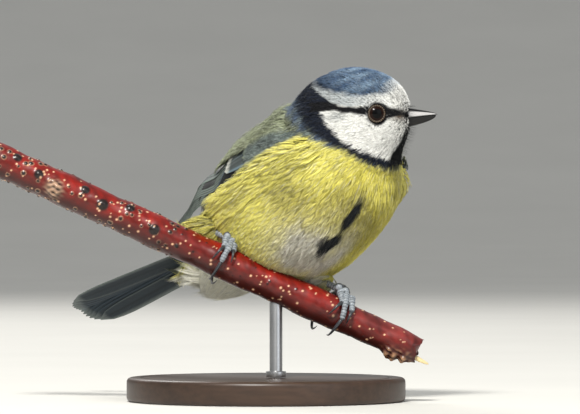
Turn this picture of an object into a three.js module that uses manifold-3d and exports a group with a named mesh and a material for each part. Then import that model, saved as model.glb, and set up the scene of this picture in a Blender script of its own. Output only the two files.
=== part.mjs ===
// A life-size still model of a Eurasian blue tit gripping a cut length of red-barked stem,
// carried by a flat base and one short rod. Millimetres, +Z up. The bird's bill points to +X,
// its right side faces -Y, and its tail runs back towards +Y.
import * as THREE from "three";
import { mergeVertices } from "three/addons/utils/BufferGeometryUtils.js";
import Module from "manifold-3d";

const wasm = await Module();
wasm.setup();

// Driving sizes, all in millimetres and degrees
const GAP = 0.3; // air left between neighbouring pieces
const BODY_CENTRE = new THREE.Vector3(20.8, 8, 50.6);
const BODY_HEADING = 43; // how far the breast turns from +X towards -Y
const BODY_PITCH = 26; // how far the breast is lifted
const BODY_ROLL = 16; // right side up, to suit the sloping stem
const HEAD_CENTRE = new THREE.Vector3(35, -7, 71.6);
const HEAD_HEADING = 4;
const HEAD_PITCH = 3;
const HEAD_RADII = [14.2, 11.3, 11.6]; // along the bill, sideways, up
const TORSO_RADII = [29.5, 20.5, 21.5];
const BREAST_RADII = [19, 19, 18];
const NAPE_RADII = [9, 9.5, 9.5];
const VENT_RADII = [10, 8, 7.5];
const RUMP_LENGTH = 40; // body centre to the end of the tail coverts
const EYE_RADIUS = 2.9;
const EYE_FORWARD = 5.4; // eye centre from head centre, along the bill
const EYE_UP = 0.5;
const EYE_SIDE = 4; // where the line to the eye starts, inside the head
const EYE_SHOWS = 0.35; // how far the eyeball stands out of the plumage outline
const LID_RADIUS = 2.35;
const BILL_LENGTH = 10.2; // of which about 6.5 stands out of the feathers
const BILL_UPPER_DEPTH = 2.2; // from the line of the mouth, at the root
const BILL_LOWER_DEPTH = 2.7;
const BILL_WIDTH = 4.4;
const TAIL_LENGTH = 49;
const TAIL_FEATHERS = 12;
const STEM_RADIUS = 4.15;
const STEM_SLOPE = 24.5;
const STEM_LEFT = -55.5;
const STEM_RIGHT = 51.5;
const STEM_PASSES = new THREE.Vector3(-11.3, 0, 41.1);
const TARSUS_RADIUS = 0.8;
const BASE_RADIUS = 35;
const BASE_HEIGHT = 6;
const BASE_CENTRE = [13, 5];
const ROD_RADIUS = 1.6;
const ROD_AT = 15.5;

const deg = (a) => (a * Math.PI) / 180;
const lerp = (a, b, t) => a + (b - a) * t;
const smooth = (t) => t * t * (3 - 2 * t);

// Forward, right and up directions of a thing that is turned, lifted and rolled
function directions(heading, pitch, roll) {
  const [h, p, r] = [heading, pitch, roll].map(deg);
  const forward = new THREE.Vector3(Math.cos(h) * Math.cos(p), -Math.sin(h) * Math.cos(p), Math.sin(p));
  const level = new THREE.Vector3(-Math.sin(h), -Math.cos(h), 0);
  const above = new THREE.Vector3(-Math.cos(h) * Math.sin(p), Math.sin(h) * Math.sin(p), Math.cos(p));
  const right = level.clone().multiplyScalar(Math.cos(r)).addScaledVector(above, Math.sin(r));
  const up = above.clone().multiplyScalar(Math.cos(r)).addScaledVector(level, -Math.sin(r));
  return { forward, right, up };
}

const body = directions(BODY_HEADING, BODY_PITCH, BODY_ROLL);
const head = directions(HEAD_HEADING, HEAD_PITCH, 0);

// A point given by its distances along a set of directions
function place(origin, axes, along, side, rise) {
  return origin
    .clone()
    .addScaledVector(axes.forward, along)
    .addScaledVector(axes.right, side)
    .addScaledVector(axes.up, rise);
}

// Plumage outline: a smooth union of egg shapes, as a signed distance that is negative inside
function eggDistance(p, centre, axes, radii) {
  const d = p.clone().sub(centre);
  const local = [d.dot(axes.forward), d.dot(axes.right), d.dot(axes.up)];
  const near = Math.hypot(...local.map((v, i) => v / radii[i]));
  const far = Math.hypot(...local.map((v, i) => v / radii[i] ** 2));
  return (near * (near - 1)) / Math.max(far, 1e-9);
}

function coneDistance(p, from, to, fromRadius, toRadius) {
  const line = to.clone().sub(from);
  const t = THREE.MathUtils.clamp(p.clone().sub(from).dot(line) / line.lengthSq(), 0, 1);
  return p.distanceTo(from.clone().addScaledVector(line, t)) - lerp(fromRadius, toRadius, t);
}

function blend(a, b, width) {
  const h = THREE.MathUtils.clamp(0.5 + (0.5 * (b - a)) / width, 0, 1);
  return lerp(b, a, h) - width * h * (1 - h);
}

const BREAST_CENTRE = place(BODY_CENTRE, body, 12, 0, 3);
const RUMP_START = place(BODY_CENTRE, body, -14, 0, 0);
const RUMP_END = place(BODY_CENTRE, body, -RUMP_LENGTH, 0, 1);
const VENT_CENTRE = place(BODY_CENTRE, body, -24, 0, -7);
const NAPE_CENTRE = place(HEAD_CENTRE, head, -9, 0, -1);

// The folded wings lie in a shallow bed of the body's plumage
const BED_DEPTH = 3.1;

function ramp(value, from, to) {
  return smooth(THREE.MathUtils.clamp((value - from) / (to - from), 0, 1));
}

function wingBed(p) {
  const d = p.clone().sub(BODY_CENTRE);
  const along = d.dot(body.forward);
  const angle = Math.atan2(Math.abs(d.dot(body.right)), d.dot(body.up)) / deg(1);
  const lengthwise = ramp(along, -22, -12) * ramp(along, 28, 17);
  return BED_DEPTH * lengthwise * ramp(angle, 16, 34) * ramp(angle, 92, 78);
}

function torsoDistance(p) {
  const main = eggDistance(p, BODY_CENTRE, body, TORSO_RADII);
  const rump = coneDistance(p, RUMP_START, RUMP_END, 11, 3.6);
  const breast = eggDistance(p, BREAST_CENTRE, body, BREAST_RADII);
  const vent = eggDistance(p, VENT_CENTRE, body, VENT_RADII);
  return blend(blend(blend(main, rump, 6), breast, 5), vent, 5);
}

function plumageDistance(p) {
  const skull = eggDistance(p, HEAD_CENTRE, head, HEAD_RADII);
  const nape = eggDistance(p, NAPE_CENTRE, head, NAPE_RADII);
  return blend(torsoDistance(p), blend(skull, nape, 4), 7) + wingBed(p);
}

// Turning meshes into solids for cutting and joining, and back
function solidOf(geometry) {
  const bare = geometry.clone();
  bare.deleteAttribute("normal");
  bare.deleteAttribute("uv");
  const merged = mergeVertices(bare, 1e-4);
  const mesh = new wasm.Mesh({
    numProp: 3,
    vertProperties: merged.attributes.position.array,
    triVerts: new Uint32Array(merged.index.array),
  });
  return new wasm.Manifold(mesh);
}

function geometryOf(solid) {
  const mesh = solid.getMesh();
  const points = new Float32Array(mesh.numVert * 3);
  for (let i = 0; i < mesh.numVert; i++) {
    points.set(mesh.vertProperties.subarray(i * mesh.numProp, i * mesh.numProp + 3), i * 3);
  }
  const geometry = new THREE.BufferGeometry();
  geometry.setAttribute("position", new THREE.BufferAttribute(points, 3));
  geometry.setIndex(new THREE.BufferAttribute(mesh.triVerts, 1));
  geometry.computeVertexNormals();
  return geometry;
}

function largest(solid) {
  return solid.decompose().reduce((a, b) => (a.volume() > b.volume() ? a : b));
}

function join(solids) {
  return largest(wasm.Manifold.union(solids));
}

// An icosphere whose every point is pushed out along its ray to the given distance from the outline
function outlineSolid(distance, centre, detail, grown) {
  const geometry = new THREE.IcosahedronGeometry(1, detail);
  const points = geometry.getAttribute("position");
  const ray = new THREE.Vector3();
  for (let i = 0; i < points.count; i++) {
    ray.fromBufferAttribute(points, i).normalize();
    const reach = reachAlong(distance, centre, ray, grown);
    points.setXYZ(i, centre.x + ray.x * reach, centre.y + ray.y * reach, centre.z + ray.z * reach);
  }
  return solidOf(geometry);
}

function reachAlong(distance, centre, ray, grown) {
  let [inside, outside] = [0, 70];
  for (let step = 0; step < 26; step++) {
    const middle = (inside + outside) / 2;
    const value = distance(centre.clone().addScaledVector(ray, middle)) - grown;
    if (value < 0) inside = middle;
    else outside = middle;
  }
  return inside;
}

// Everything on the far side of a plane, as a big block whose near face lies on it
function beyond(point, normal) {
  const size = 200;
  const block = new THREE.BoxGeometry(size, size, size).translate(0, 0, size / 2);
  const faces = normal.clone().normalize();
  const turn = new THREE.Quaternion().setFromUnitVectors(new THREE.Vector3(0, 0, 1), faces);
  block.applyQuaternion(turn).translate(point.x, point.y, point.z);
  return solidOf(block);
}

// A closed skin over rings of points; every ring has the same count and both ends are capped
function skinOver(rings) {
  const count = rings[0].length;
  const points = rings.flat();
  const faces = [];
  for (let r = 0; r + 1 < rings.length; r++) {
    for (let k = 0; k < count; k++) {
      const [a, b] = [r * count + k, r * count + ((k + 1) % count)];
      faces.push(a, a + count, b, b, a + count, b + count);
    }
  }
  const last = (rings.length - 1) * count;
  for (let k = 1; k + 1 < count; k++) {
    faces.push(0, k, k + 1, last, last + k + 1, last + k);
  }
  const geometry = new THREE.BufferGeometry().setFromPoints(points);
  geometry.setIndex(faces);
  const solid = solidOf(geometry);
  if (solid.volume() > 0) return solid;
  geometry.setIndex(faces.flatMap((v, i) => (i % 3 === 0 ? [v, faces[i + 2], faces[i + 1]] : [])));
  return solidOf(geometry);
}

// A round bar through a row of points, with a radius for each
function bar(points, radii, sides) {
  const rings = points.map((point, i) => {
    const ahead = points[Math.min(i + 1, points.length - 1)].clone();
    const along = ahead.sub(points[Math.max(i - 1, 0)]).normalize();
    const side = new THREE.Vector3(0.2, 1, 0.1).cross(along).normalize();
    const other = along.clone().cross(side);
    return Array.from({ length: sides }, (_, k) => {
      const a = (2 * Math.PI * k) / sides;
      return point
        .clone()
        .addScaledVector(side, radii[i] * Math.cos(a))
        .addScaledVector(other, radii[i] * Math.sin(a));
    });
  });
  return skinOver(rings);
}

// A feather: a flat blade along a row of frames, raised along its shaft and narrowing to its tip
const LONG_VANE = [0.5, 0.9, 1, 0.9, 0.3];
const SHORT_VANE = [0.7, 1, 0.95, 0.35];
const VANE_EDGE = 0.25;
const VANE_RIDGE = 0.42;
const VANE_UNDER = 0.22;

function vane(frames, shares, width) {
  const rings = frames.map(({ point, side, out }, i) => {
    const half = (width * shares[i]) / 2;
    const corner = (across, rise) =>
      point.clone().addScaledVector(side, across).addScaledVector(out, rise);
    return [
      corner(-half, VANE_EDGE),
      corner(0, VANE_RIDGE),
      corner(half, VANE_EDGE),
      corner(half, -VANE_UNDER),
      corner(-half, -VANE_UNDER),
    ];
  });
  return skinOver(rings);
}

// Whole plumage, parted by two thin cuts: head, neck and torso
const HEAD_CUT_AT = new THREE.Vector3(32.75, -6, 67);
const HEAD_CUT_FACES = new THREE.Vector3(0.5, -0.3, 0.81);
const NECK_CUT_AT = new THREE.Vector3(26.5, -3, 60.5);
const NECK_CUT_FACES = new THREE.Vector3(0.5, -0.25, 0.83);
const NECK_CENTRE = new THREE.Vector3(30, -5, 63.5);
const OUTLINE_DETAIL = 8;
const ROUGH_DETAIL = 4;
const ROUGH_GROWTH = 0.7; // the gap, and what a rough outline loses between its corners

const aboveHeadCut = beyond(HEAD_CUT_AT.clone().addScaledVector(HEAD_CUT_FACES, GAP), HEAD_CUT_FACES);
const belowHeadCut = beyond(HEAD_CUT_AT, HEAD_CUT_FACES.clone().negate());
const aboveNeckCut = beyond(NECK_CUT_AT.clone().addScaledVector(NECK_CUT_FACES, GAP), NECK_CUT_FACES);
const belowNeckCut = beyond(NECK_CUT_AT, NECK_CUT_FACES.clone().negate());
const torsoGrown = outlineSolid(plumageDistance, BODY_CENTRE, OUTLINE_DETAIL, GAP);
const torsoRough = outlineSolid(plumageDistance, BODY_CENTRE, ROUGH_DETAIL, ROUGH_GROWTH);
const headGrown = outlineSolid(plumageDistance, HEAD_CENTRE, OUTLINE_DETAIL, GAP);

// Eyes sit deep in the head, each in a round lid
function eyeFacing(hand) {
  return head.right.clone().multiplyScalar(hand).addScaledVector(head.forward, 0.28).normalize();
}

function eyeCentre(hand) {
  const inner = place(HEAD_CENTRE, head, EYE_FORWARD - 1.1, hand * EYE_SIDE, EYE_UP);
  const reach = reachAlong(plumageDistance, inner, eyeFacing(hand), 0);
  return inner.addScaledVector(eyeFacing(hand), reach + EYE_SHOWS - EYE_RADIUS);
}

function eyeBall(hand, grown) {
  const at = eyeCentre(hand);
  return solidOf(new THREE.SphereGeometry(EYE_RADIUS + grown, 14, 10).translate(at.x, at.y, at.z));
}

function eyeLid(hand) {
  const facing = eyeFacing(hand);
  const turn = new THREE.Quaternion().setFromUnitVectors(new THREE.Vector3(0, 0, 1), facing);
  const ring = new THREE.TorusGeometry(LID_RADIUS, 0.5, 5, 16).applyQuaternion(turn);
  const at = eyeCentre(hand).addScaledVector(facing, EYE_RADIUS - EYE_SHOWS - 0.15);
  return solidOf(ring.translate(at.x, at.y, at.z));
}

function makeHead() {
  const whole = outlineSolid(plumageDistance, HEAD_CENTRE, OUTLINE_DETAIL, 0).intersect(aboveHeadCut);
  const lidded = join([whole, eyeLid(1), eyeLid(-1)]);
  return largest(lidded.subtract(eyeBall(1, GAP)).subtract(eyeBall(-1, GAP)));
}

// Bill: two half cones that meet at the line of the mouth, with a nostril pit on each side
const BILL_ROOT_ALONG = 10.4;
const BILL_ROOT_RISE = -1;
const BILL_SIDES = 9;
const BILL_STATIONS = 8;
const BILL_TIP = 0.12; // half the thickness left at the very tip

function billHalf(top) {
  const length = top ? BILL_LENGTH : BILL_LENGTH - 0.35;
  const rings = Array.from({ length: BILL_STATIONS }, (_, i) => {
    const t = i / (BILL_STATIONS - 1);
    const depth = top ? BILL_UPPER_DEPTH * (1 - t) ** 0.65 : BILL_LOWER_DEPTH * (1 - t) ** 0.5;
    const width = (BILL_WIDTH / 2) * (1 - t) ** 0.85 + BILL_TIP;
    return Array.from({ length: BILL_SIDES }, (_, k) => {
      const a = (Math.PI * k) / (BILL_SIDES - 1);
      const rise = Math.sin(a) * (depth + BILL_TIP) + GAP / 2;
      return place(
        HEAD_CENTRE,
        head,
        BILL_ROOT_ALONG + length * t,
        Math.cos(a) * width,
        BILL_ROOT_RISE + (top ? rise : -rise),
      );
    });
  });
  return skinOver(rings);
}

function nostril(hand) {
  const at = place(HEAD_CENTRE, head, BILL_ROOT_ALONG + 4.3, hand * 1.3, BILL_ROOT_RISE + 1.3);
  return solidOf(new THREE.SphereGeometry(0.42, 8, 6).translate(at.x, at.y, at.z));
}

function makeBill(top) {
  const half = billHalf(top).subtract(headGrown);
  return largest(top ? half.subtract(nostril(1)).subtract(nostril(-1)) : half);
}

// Wings: every feather runs over the body from a root to a tip, both given as a place along
// the body and an angle round it from the middle of the back
const GUIDE_START = place(BODY_CENTRE, body, -10, 0, 0);
const GUIDE_END = place(BODY_CENTRE, body, -50, 0, 2.5);

function guideDistance(p) {
  return blend(torsoDistance(p), coneDistance(p, GUIDE_START, GUIDE_END, 13, 8), 8) + wingBed(p);
}

function onGuide(hand, along, angle, lift) {
  const axis = place(BODY_CENTRE, body, along, 0, 0);
  const ray = new THREE.Vector3()
    .addScaledVector(body.up, Math.cos(deg(angle)))
    .addScaledVector(body.right, hand * Math.sin(deg(angle)));
  const reach = reachAlong(guideDistance, axis, ray, lift);
  return axis.addScaledVector(ray, reach);
}

function wingFrames(hand, stations, root, tip, lift) {
  const chart = (t) => [lerp(root[0], tip[0], t), lerp(root[1], tip[1], t)];
  const at = (t) => onGuide(hand, ...chart(t), lerp(lift[0], lift[1], t));
  return Array.from({ length: stations }, (_, i) => {
    const t = i / (stations - 1);
    const point = at(t);
    const along = at(Math.min(t + 0.05, 1)).sub(at(Math.max(t - 0.05, 0))).normalize();
    const axis = place(BODY_CENTRE, body, chart(t)[0], 0, 0);
    const away = point.clone().sub(axis).normalize();
    const side = along.clone().cross(away).normalize();
    const out = side.clone().cross(along).normalize();
    return { point, side, out };
  });
}

// Tiers of the folded wing, from the longest at the bottom to the small coverts on top. Each gives
// its first and last feather's root, tip and lift, and the feathers between are spaced evenly.
const WING_TIERS = [
  { count: 6, width: 5.2, lifts: [0.7, 1], roots: [[0, 78], [-6, 62]], tips: [[-45, 58], [-32, 48]] },
  { count: 5, width: 6, lifts: [1, 1.3], roots: [[4, 74], [0, 50]], tips: [[-31, 49], [-27, 36]] },
  { count: 3, width: 7, lifts: [1.4, 1.6], roots: [[2, 54], [0, 42]], tips: [[-26, 34], [-16, 26]] },
];
const COVERT_TIERS = [
  { count: 3, width: 4.2, lifts: [1.2, 1.3], roots: [[12, 81], [10, 74]], tips: [[-11, 74], [-8, 68]] },
  { count: 6, width: 5.8, lifts: [1.6, 1.7], roots: [[13, 73], [6, 40]], tips: [[-7, 65], [-5, 32]] },
  { count: 5, width: 5, lifts: [1.9, 2], roots: [[16, 74], [11, 50]], tips: [[3, 68], [3, 42]] },
  { count: 4, width: 4.8, lifts: [2.2, 2.3], roots: [[20, 74], [17, 62]], tips: [[9, 70], [9, 52]] },
];
const ROOT_DEPTH = 0.6; // how much lower a feather starts than it ends
const ARM_TOP = 1.5;
const ARM_ROWS = [
  { along: 20, angles: [75, 62] },
  { along: 14, angles: [78, 52] },
  { along: 7, angles: [79, 42] },
  { along: 0, angles: [77, 37] },
  { along: -8, angles: [68, 38] },
];
const ARM_ACROSS = 5;

function wingTier(hand, shares, { count, width, lifts, roots, tips }) {
  return Array.from({ length: count }, (_, i) => {
    const t = i / (count - 1);
    const mix = (pair) => pair[0].map((v, k) => lerp(v, pair[1][k], t));
    const lift = lerp(lifts[0], lifts[1], t);
    const frames = wingFrames(hand, shares.length, mix(roots), mix(tips), [lift - ROOT_DEPTH, lift]);
    return vane(frames, shares, width);
  });
}

// The arm under the coverts, which every feather of a wing is rooted in
function wingArm(hand) {
  const rings = ARM_ROWS.map(({ along, angles }) => {
    const line = (lift) =>
      Array.from({ length: ARM_ACROSS }, (_, k) =>
        onGuide(hand, along, lerp(angles[0], angles[1], k / (ARM_ACROSS - 1)), lift),
      );
    return [...line(ROUGH_GROWTH / 2), ...line(ARM_TOP).reverse()];
  });
  return skinOver(rings);
}

function makeWing(hand) {
  const flight = WING_TIERS.flatMap((tier) => wingTier(hand, LONG_VANE, tier));
  const coverts = COVERT_TIERS.flatMap((tier) => wingTier(hand, SHORT_VANE, tier));
  return largest(join([wingArm(hand), ...flight, ...coverts]).subtract(torsoRough));
}

// Tail: a fan of narrow feathers, the middle pair on top
const TAIL_HEADING = 36;
const TAIL_PITCH = 20;
const TAIL_ROLL = 30;
const TAIL_SPREAD = 0.95; // sideways step from feather to feather at the tip
const TAIL_ROOT_STEP = 0.42;
const TAIL_LAYER = 0.2; // how much lower each feather lies than the one nearer the middle
const TAIL_FEATHER_WIDTH = 6.2;
const TAIL_NOTCH = 2.2;
const TAIL_CORNER = 1.2;
const TAIL_SAG = 0.6;
const tail = directions(TAIL_HEADING, TAIL_PITCH, TAIL_ROLL);
const TAIL_ROOT = place(BODY_CENTRE, body, -30, 0, 1.5);

function tailFeather(index) {
  const place01 = Math.abs(index) / ((TAIL_FEATHERS - 1) / 2);
  const length = TAIL_LENGTH - TAIL_NOTCH * (1 - place01) - TAIL_CORNER * place01 ** 4;
  const frames = LONG_VANE.map((_, i) => {
    const t = i / (LONG_VANE.length - 1);
    const side = index * lerp(TAIL_ROOT_STEP, TAIL_SPREAD, t);
    const rise = -Math.abs(index) * TAIL_LAYER - TAIL_SAG * Math.sin((Math.PI * t) / 2) ** 2;
    return { point: place(TAIL_ROOT, tail, -length * t, side, rise), side: tail.right, out: tail.up };
  });
  return vane(frames, LONG_VANE, TAIL_FEATHER_WIDTH);
}

function makeTail() {
  const middle = (TAIL_FEATHERS - 1) / 2;
  const feathers = Array.from({ length: TAIL_FEATHERS }, (_, i) => tailFeather(i - middle));
  return largest(join(feathers).subtract(torsoGrown));
}

// Stem: red bark over a slightly uneven round, with a scar and a splinter at the broken end
const stemAlong = new THREE.Vector3(Math.cos(deg(STEM_SLOPE)), 0, -Math.sin(deg(STEM_SLOPE)));
const stemFront = new THREE.Vector3(0, -1, 0);
const stemUp = new THREE.Vector3(Math.sin(deg(STEM_SLOPE)), 0, Math.cos(deg(STEM_SLOPE)));

function stemCentre(x) {
  return STEM_PASSES.clone().addScaledVector(stemAlong, (x - STEM_PASSES.x) / stemAlong.x);
}

function stemRadius(x) {
  const taper = x > 28 ? ((x - 28) / (STEM_RIGHT - 28)) * 0.85 : 0;
  return STEM_RADIUS - taper + 0.12 * Math.sin(x * 0.31) + 0.08 * Math.sin(x * 0.83 + 1);
}

function aroundStem(x, angle, out) {
  const reach = stemRadius(x) + out;
  return stemCentre(x)
    .addScaledVector(stemFront, reach * Math.cos(deg(angle)))
    .addScaledVector(stemUp, reach * Math.sin(deg(angle)));
}

const STEM_SIDES = 16;
const STEM_STATIONS = 18;

function stemBar(grown) {
  const rings = Array.from({ length: STEM_STATIONS }, (_, i) => {
    const x = lerp(STEM_LEFT, STEM_RIGHT, i / (STEM_STATIONS - 1));
    return Array.from({ length: STEM_SIDES }, (_, k) => aroundStem(x, (360 * k) / STEM_SIDES, grown));
  });
  return skinOver(rings);
}

function lump(at, radii, detail) {
  const ball = new THREE.IcosahedronGeometry(1, detail).scale(...radii);
  return solidOf(ball.translate(at.x, at.y, at.z));
}

// Warts and scars: place along the stem, angle round it, and radius
const WARTS = [
  [-50, 40, 1],
  [-44, 15, 1],
  [-39.5, -8, 2.4],
  [-33, 34, 1],
  [-28, 10, 1.2],
  [-22, 42, 1],
  [-15, 5, 1.1],
  [-42, 190, 1],
  [-18, 170, 1],
];

function makeStem() {
  const warts = WARTS.map(([x, angle, size]) =>
    lump(aroundStem(x, angle, -size * 0.55), [size, size, size], 1),
  );
  const scar = [
    lump(aroundStem(45.5, -62, -0.8), [2.6, 2.4, 2], 1),
    lump(aroundStem(48.6, -50, -1), [2.2, 2.2, 2], 1),
  ];
  const splinter = bar(
    [aroundStem(50, -70, -1.6), aroundStem(52, -72, -1.2), aroundStem(54.6, -74, -1.4)],
    [1.1, 0.75, 0.3],
    6,
  );
  return join([stemBar(0), ...warts, ...scar, splinter]);
}

// Feet: three toes over the front of the stem and one round the back, each ending in a hooked claw.
// A toe runs from one place to another, and its claw on to a third. Each is given as the angle round
// the stem, the x counted from the foot's own, and for the claw's tip its height over the bark.
const FEET = [
  {
    name: "right",
    x: 1.5,
    toes: {
      inner: { from: [74, 1.3], to: [44, 1.9], claw: [8, 2.5, 0.5] },
      middle: { from: [74, 0.7], to: [0, 0.4], claw: [-80, -0.6, 0.9] },
      outer: { from: [74, -0.7], to: [42, -0.5], claw: [-6, -1.9, 0.5] },
      hind: { from: [98, 0], to: [196, -0.9], claw: [282, 1.2, 0.6] },
    },
  },
  {
    name: "left",
    x: 29.4,
    toes: {
      inner: { from: [74, 0.1], to: [38, 1.2], claw: [-12, -0.6, 0.5] },
      middle: { from: [74, 1.5], to: [-7, 2.7], claw: [-82, 1.1, 1.6] },
      outer: { from: [74, 2.9], to: [24, 4], claw: [-14, 4.1, 0.5] },
      hind: { from: [98, 0], to: [196, -3.7], claw: [282, -1.7, 0.6] },
    },
  },
];
const TARSUS_REACH = new THREE.Vector3(-8, 6, 3.5); // from the foot up into the plumage
const KNUCKLE_RADIUS = 0.92; // where a toe leaves the foot
const TOE_RADIUS = 0.6; // before its last joint
const JOINT_RADIUS = 0.7; // at the claw
const CLAW_RADIUS = 0.56;
const CLAW_TIP = 0.14;
const CLAW_ARCH = 0.8;
const HIND_ARCH = 1.3;
const CLAW_AIR = 0.12; // left round a toe where its claw starts
const TOE_STATIONS = 7;
const CLAW_STATIONS = 6;

function toeRadius(t) {
  return lerp(KNUCKLE_RADIUS, TOE_RADIUS, smooth(t)) + (JOINT_RADIUS - TOE_RADIUS) * t ** 6;
}

function toeBar(foot, { from, to }, grown) {
  const stations = Array.from({ length: TOE_STATIONS }, (_, i) => i / (TOE_STATIONS - 1));
  const points = stations.map((t) => {
    const x = foot.x + lerp(from[1], to[1], smooth(t));
    return aroundStem(x, lerp(from[0], to[0], t), GAP + 1.12 * toeRadius(t));
  });
  return bar(points, stations.map((t) => toeRadius(t) + grown), 7);
}

function clawBar(foot, toeName) {
  const { to, claw } = foot.toes[toeName];
  const arch = toeName === "hind" ? HIND_ARCH : CLAW_ARCH;
  const stations = Array.from({ length: CLAW_STATIONS }, (_, i) => i / (CLAW_STATIONS - 1));
  const points = stations.map((t) => {
    const out = lerp(GAP + JOINT_RADIUS * 1.1, claw[2], t) + arch * Math.sin(Math.PI * t);
    return aroundStem(foot.x + lerp(to[1], claw[1], t), lerp(to[0], claw[0], t), out);
  });
  return bar(points, stations.map((t) => lerp(CLAW_RADIUS, CLAW_TIP, t ** 1.3)), 6);
}

// The root of a claw is cut back by its toe, so that the two only just don't touch
function makeClaw(foot, toeName) {
  return largest(clawBar(foot, toeName).subtract(footSolid(foot, CLAW_AIR)));
}

const PALM_RADII = [2, 1.5, 1.45];
const PALM_OUT = GAP + 1.5;

function footSolid(foot, grown) {
  const toes = Object.values(foot.toes).map((toe) => toeBar(foot, toe, grown));
  const palm = aroundStem(foot.x, 86, PALM_OUT);
  return join([...toes, lump(palm, PALM_RADII.map((radius) => radius + grown), 1)]);
}

function tarsus(foot, grown) {
  const palm = aroundStem(foot.x, 90, PALM_OUT);
  const into = palm.clone().add(TARSUS_REACH);
  const points = [palm, palm.clone().lerp(into, 0.5), into];
  return bar(points, [1.15, 1, 1].map((share) => TARSUS_RADIUS * share + grown), 8);
}

// The belly plumage parts round each foot, so that the foot stands clear in front of it
function footHollow(foot) {
  const palm = aroundStem(foot.x, 88, PALM_OUT);
  return lump(palm.add(new THREE.Vector3(0.3, -4.6, -0.6)), [3.6, 6.6, 2.9], 2);
}

function makeLeg(foot) {
  const shank = tarsus(foot, 0).subtract(torsoGrown.subtract(footHollow(foot)));
  return join([footSolid(foot, 0), largest(shank)]);
}

function makeTorso() {
  const whole = outlineSolid(plumageDistance, BODY_CENTRE, OUTLINE_DETAIL, 0).intersect(belowNeckCut);
  const clear = FEET.flatMap((foot) => [footHollow(foot), footSolid(foot, GAP)]);
  return largest(clear.reduce((solid, cut) => solid.subtract(cut), whole.subtract(stemBar(GAP))));
}

function makeNeck() {
  const whole = outlineSolid(plumageDistance, NECK_CENTRE, OUTLINE_DETAIL, 0);
  return largest(whole.intersect(belowHeadCut).intersect(aboveNeckCut));
}

// Stand: a round base with softened edges and one upright rod
function makeBase() {
  const soft = 1.2;
  const profile = [
    new THREE.Vector2(0, 0),
    new THREE.Vector2(BASE_RADIUS - soft, 0),
    new THREE.Vector2(BASE_RADIUS, soft),
    new THREE.Vector2(BASE_RADIUS, BASE_HEIGHT - soft),
    new THREE.Vector2(BASE_RADIUS - soft, BASE_HEIGHT),
    new THREE.Vector2(0, BASE_HEIGHT),
  ];
  const turned = new THREE.LatheGeometry(profile, 36).rotateX(Math.PI / 2);
  return solidOf(turned.translate(BASE_CENTRE[0], BASE_CENTRE[1], 0));
}

function makeRod() {
  const top = stemCentre(ROD_AT).z;
  const height = top - BASE_HEIGHT - GAP;
  const rod = new THREE.CylinderGeometry(ROD_RADIUS, ROD_RADIUS, height, 20).rotateX(Math.PI / 2);
  const solid = solidOf(rod.translate(ROD_AT, 0, BASE_HEIGHT + GAP + height / 2));
  return largest(solid.subtract(stemBar(GAP)));
}

// Finishes
const FINISHES = {
  cap: new THREE.MeshStandardMaterial({ color: 0x5f7ba3, roughness: 0.85, metalness: 0 }),
  collar: new THREE.MeshStandardMaterial({ color: 0x1d2536, roughness: 0.85, metalness: 0 }),
  breast: new THREE.MeshStandardMaterial({ color: 0xc6bd4f, roughness: 0.9, metalness: 0 }),
  wing: new THREE.MeshStandardMaterial({ color: 0x45586b, roughness: 0.7, metalness: 0 }),
  tail: new THREE.MeshStandardMaterial({ color: 0x4b5c6c, roughness: 0.7, metalness: 0 }),
  eye: new THREE.MeshStandardMaterial({ color: 0x120b08, roughness: 0.08, metalness: 0 }),
  bill: new THREE.MeshStandardMaterial({ color: 0x1b1b1e, roughness: 0.35, metalness: 0 }),
  leg: new THREE.MeshStandardMaterial({ color: 0x7c8796, roughness: 0.55, metalness: 0 }),
  claw: new THREE.MeshStandardMaterial({ color: 0x4f5660, roughness: 0.35, metalness: 0 }),
  bark: new THREE.MeshStandardMaterial({ color: 0x6e1f16, roughness: 0.4, metalness: 0 }),
  base: new THREE.MeshStandardMaterial({ color: 0x2c2a28, roughness: 0.45, metalness: 0 }),
  steel: new THREE.MeshStandardMaterial({ color: 0xb4b6b8, roughness: 0.3, metalness: 1 }),
};

const model = new THREE.Group();

function add(name, solid, finish) {
  const mesh = new THREE.Mesh(geometryOf(solid), FINISHES[finish]);
  mesh.name = name;
  model.add(mesh);
}

add("head", makeHead(), "cap");
add("neck", makeNeck(), "collar");
add("torso", makeTorso(), "breast");
add("bill_upper", makeBill(true), "bill");
add("bill_lower", makeBill(false), "bill");
add("tail", makeTail(), "tail");
for (const [name, hand] of [["right", 1], ["left", -1]]) {
  add(`eye_${name}`, eyeBall(hand, 0), "eye");
  add(`wing_${name}`, makeWing(hand), "wing");
}
for (const foot of FEET) {
  add(`leg_${foot.name}`, makeLeg(foot), "leg");
  for (const toeName of Object.keys(foot.toes)) {
    add(`claw_${foot.name}_${toeName}`, makeClaw(foot, toeName), "claw");
  }
}
add("perch", makeStem(), "bark");
add("stand_rod", makeRod(), "steel");
add("stand_base", makeBase(), "base");

// The origin is the middle of the model's floor
const box = new THREE.Box3().setFromObject(model);
const middle = box.getCenter(new THREE.Vector3());
model.position.set(-middle.x, -middle.y, -box.min.z);

export default model;
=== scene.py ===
# %% [markdown]
# This script dresses a life-size Eurasian blue tit that grips a cut length of red-barked stem over
# a plain display stand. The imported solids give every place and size. The script adds what makes the
# bird look alive: a skin with a coat of small feathers, real vanes on wings and tail, a horny bill,
# wet eyes, scaled feet, and bark on the stem.

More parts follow.
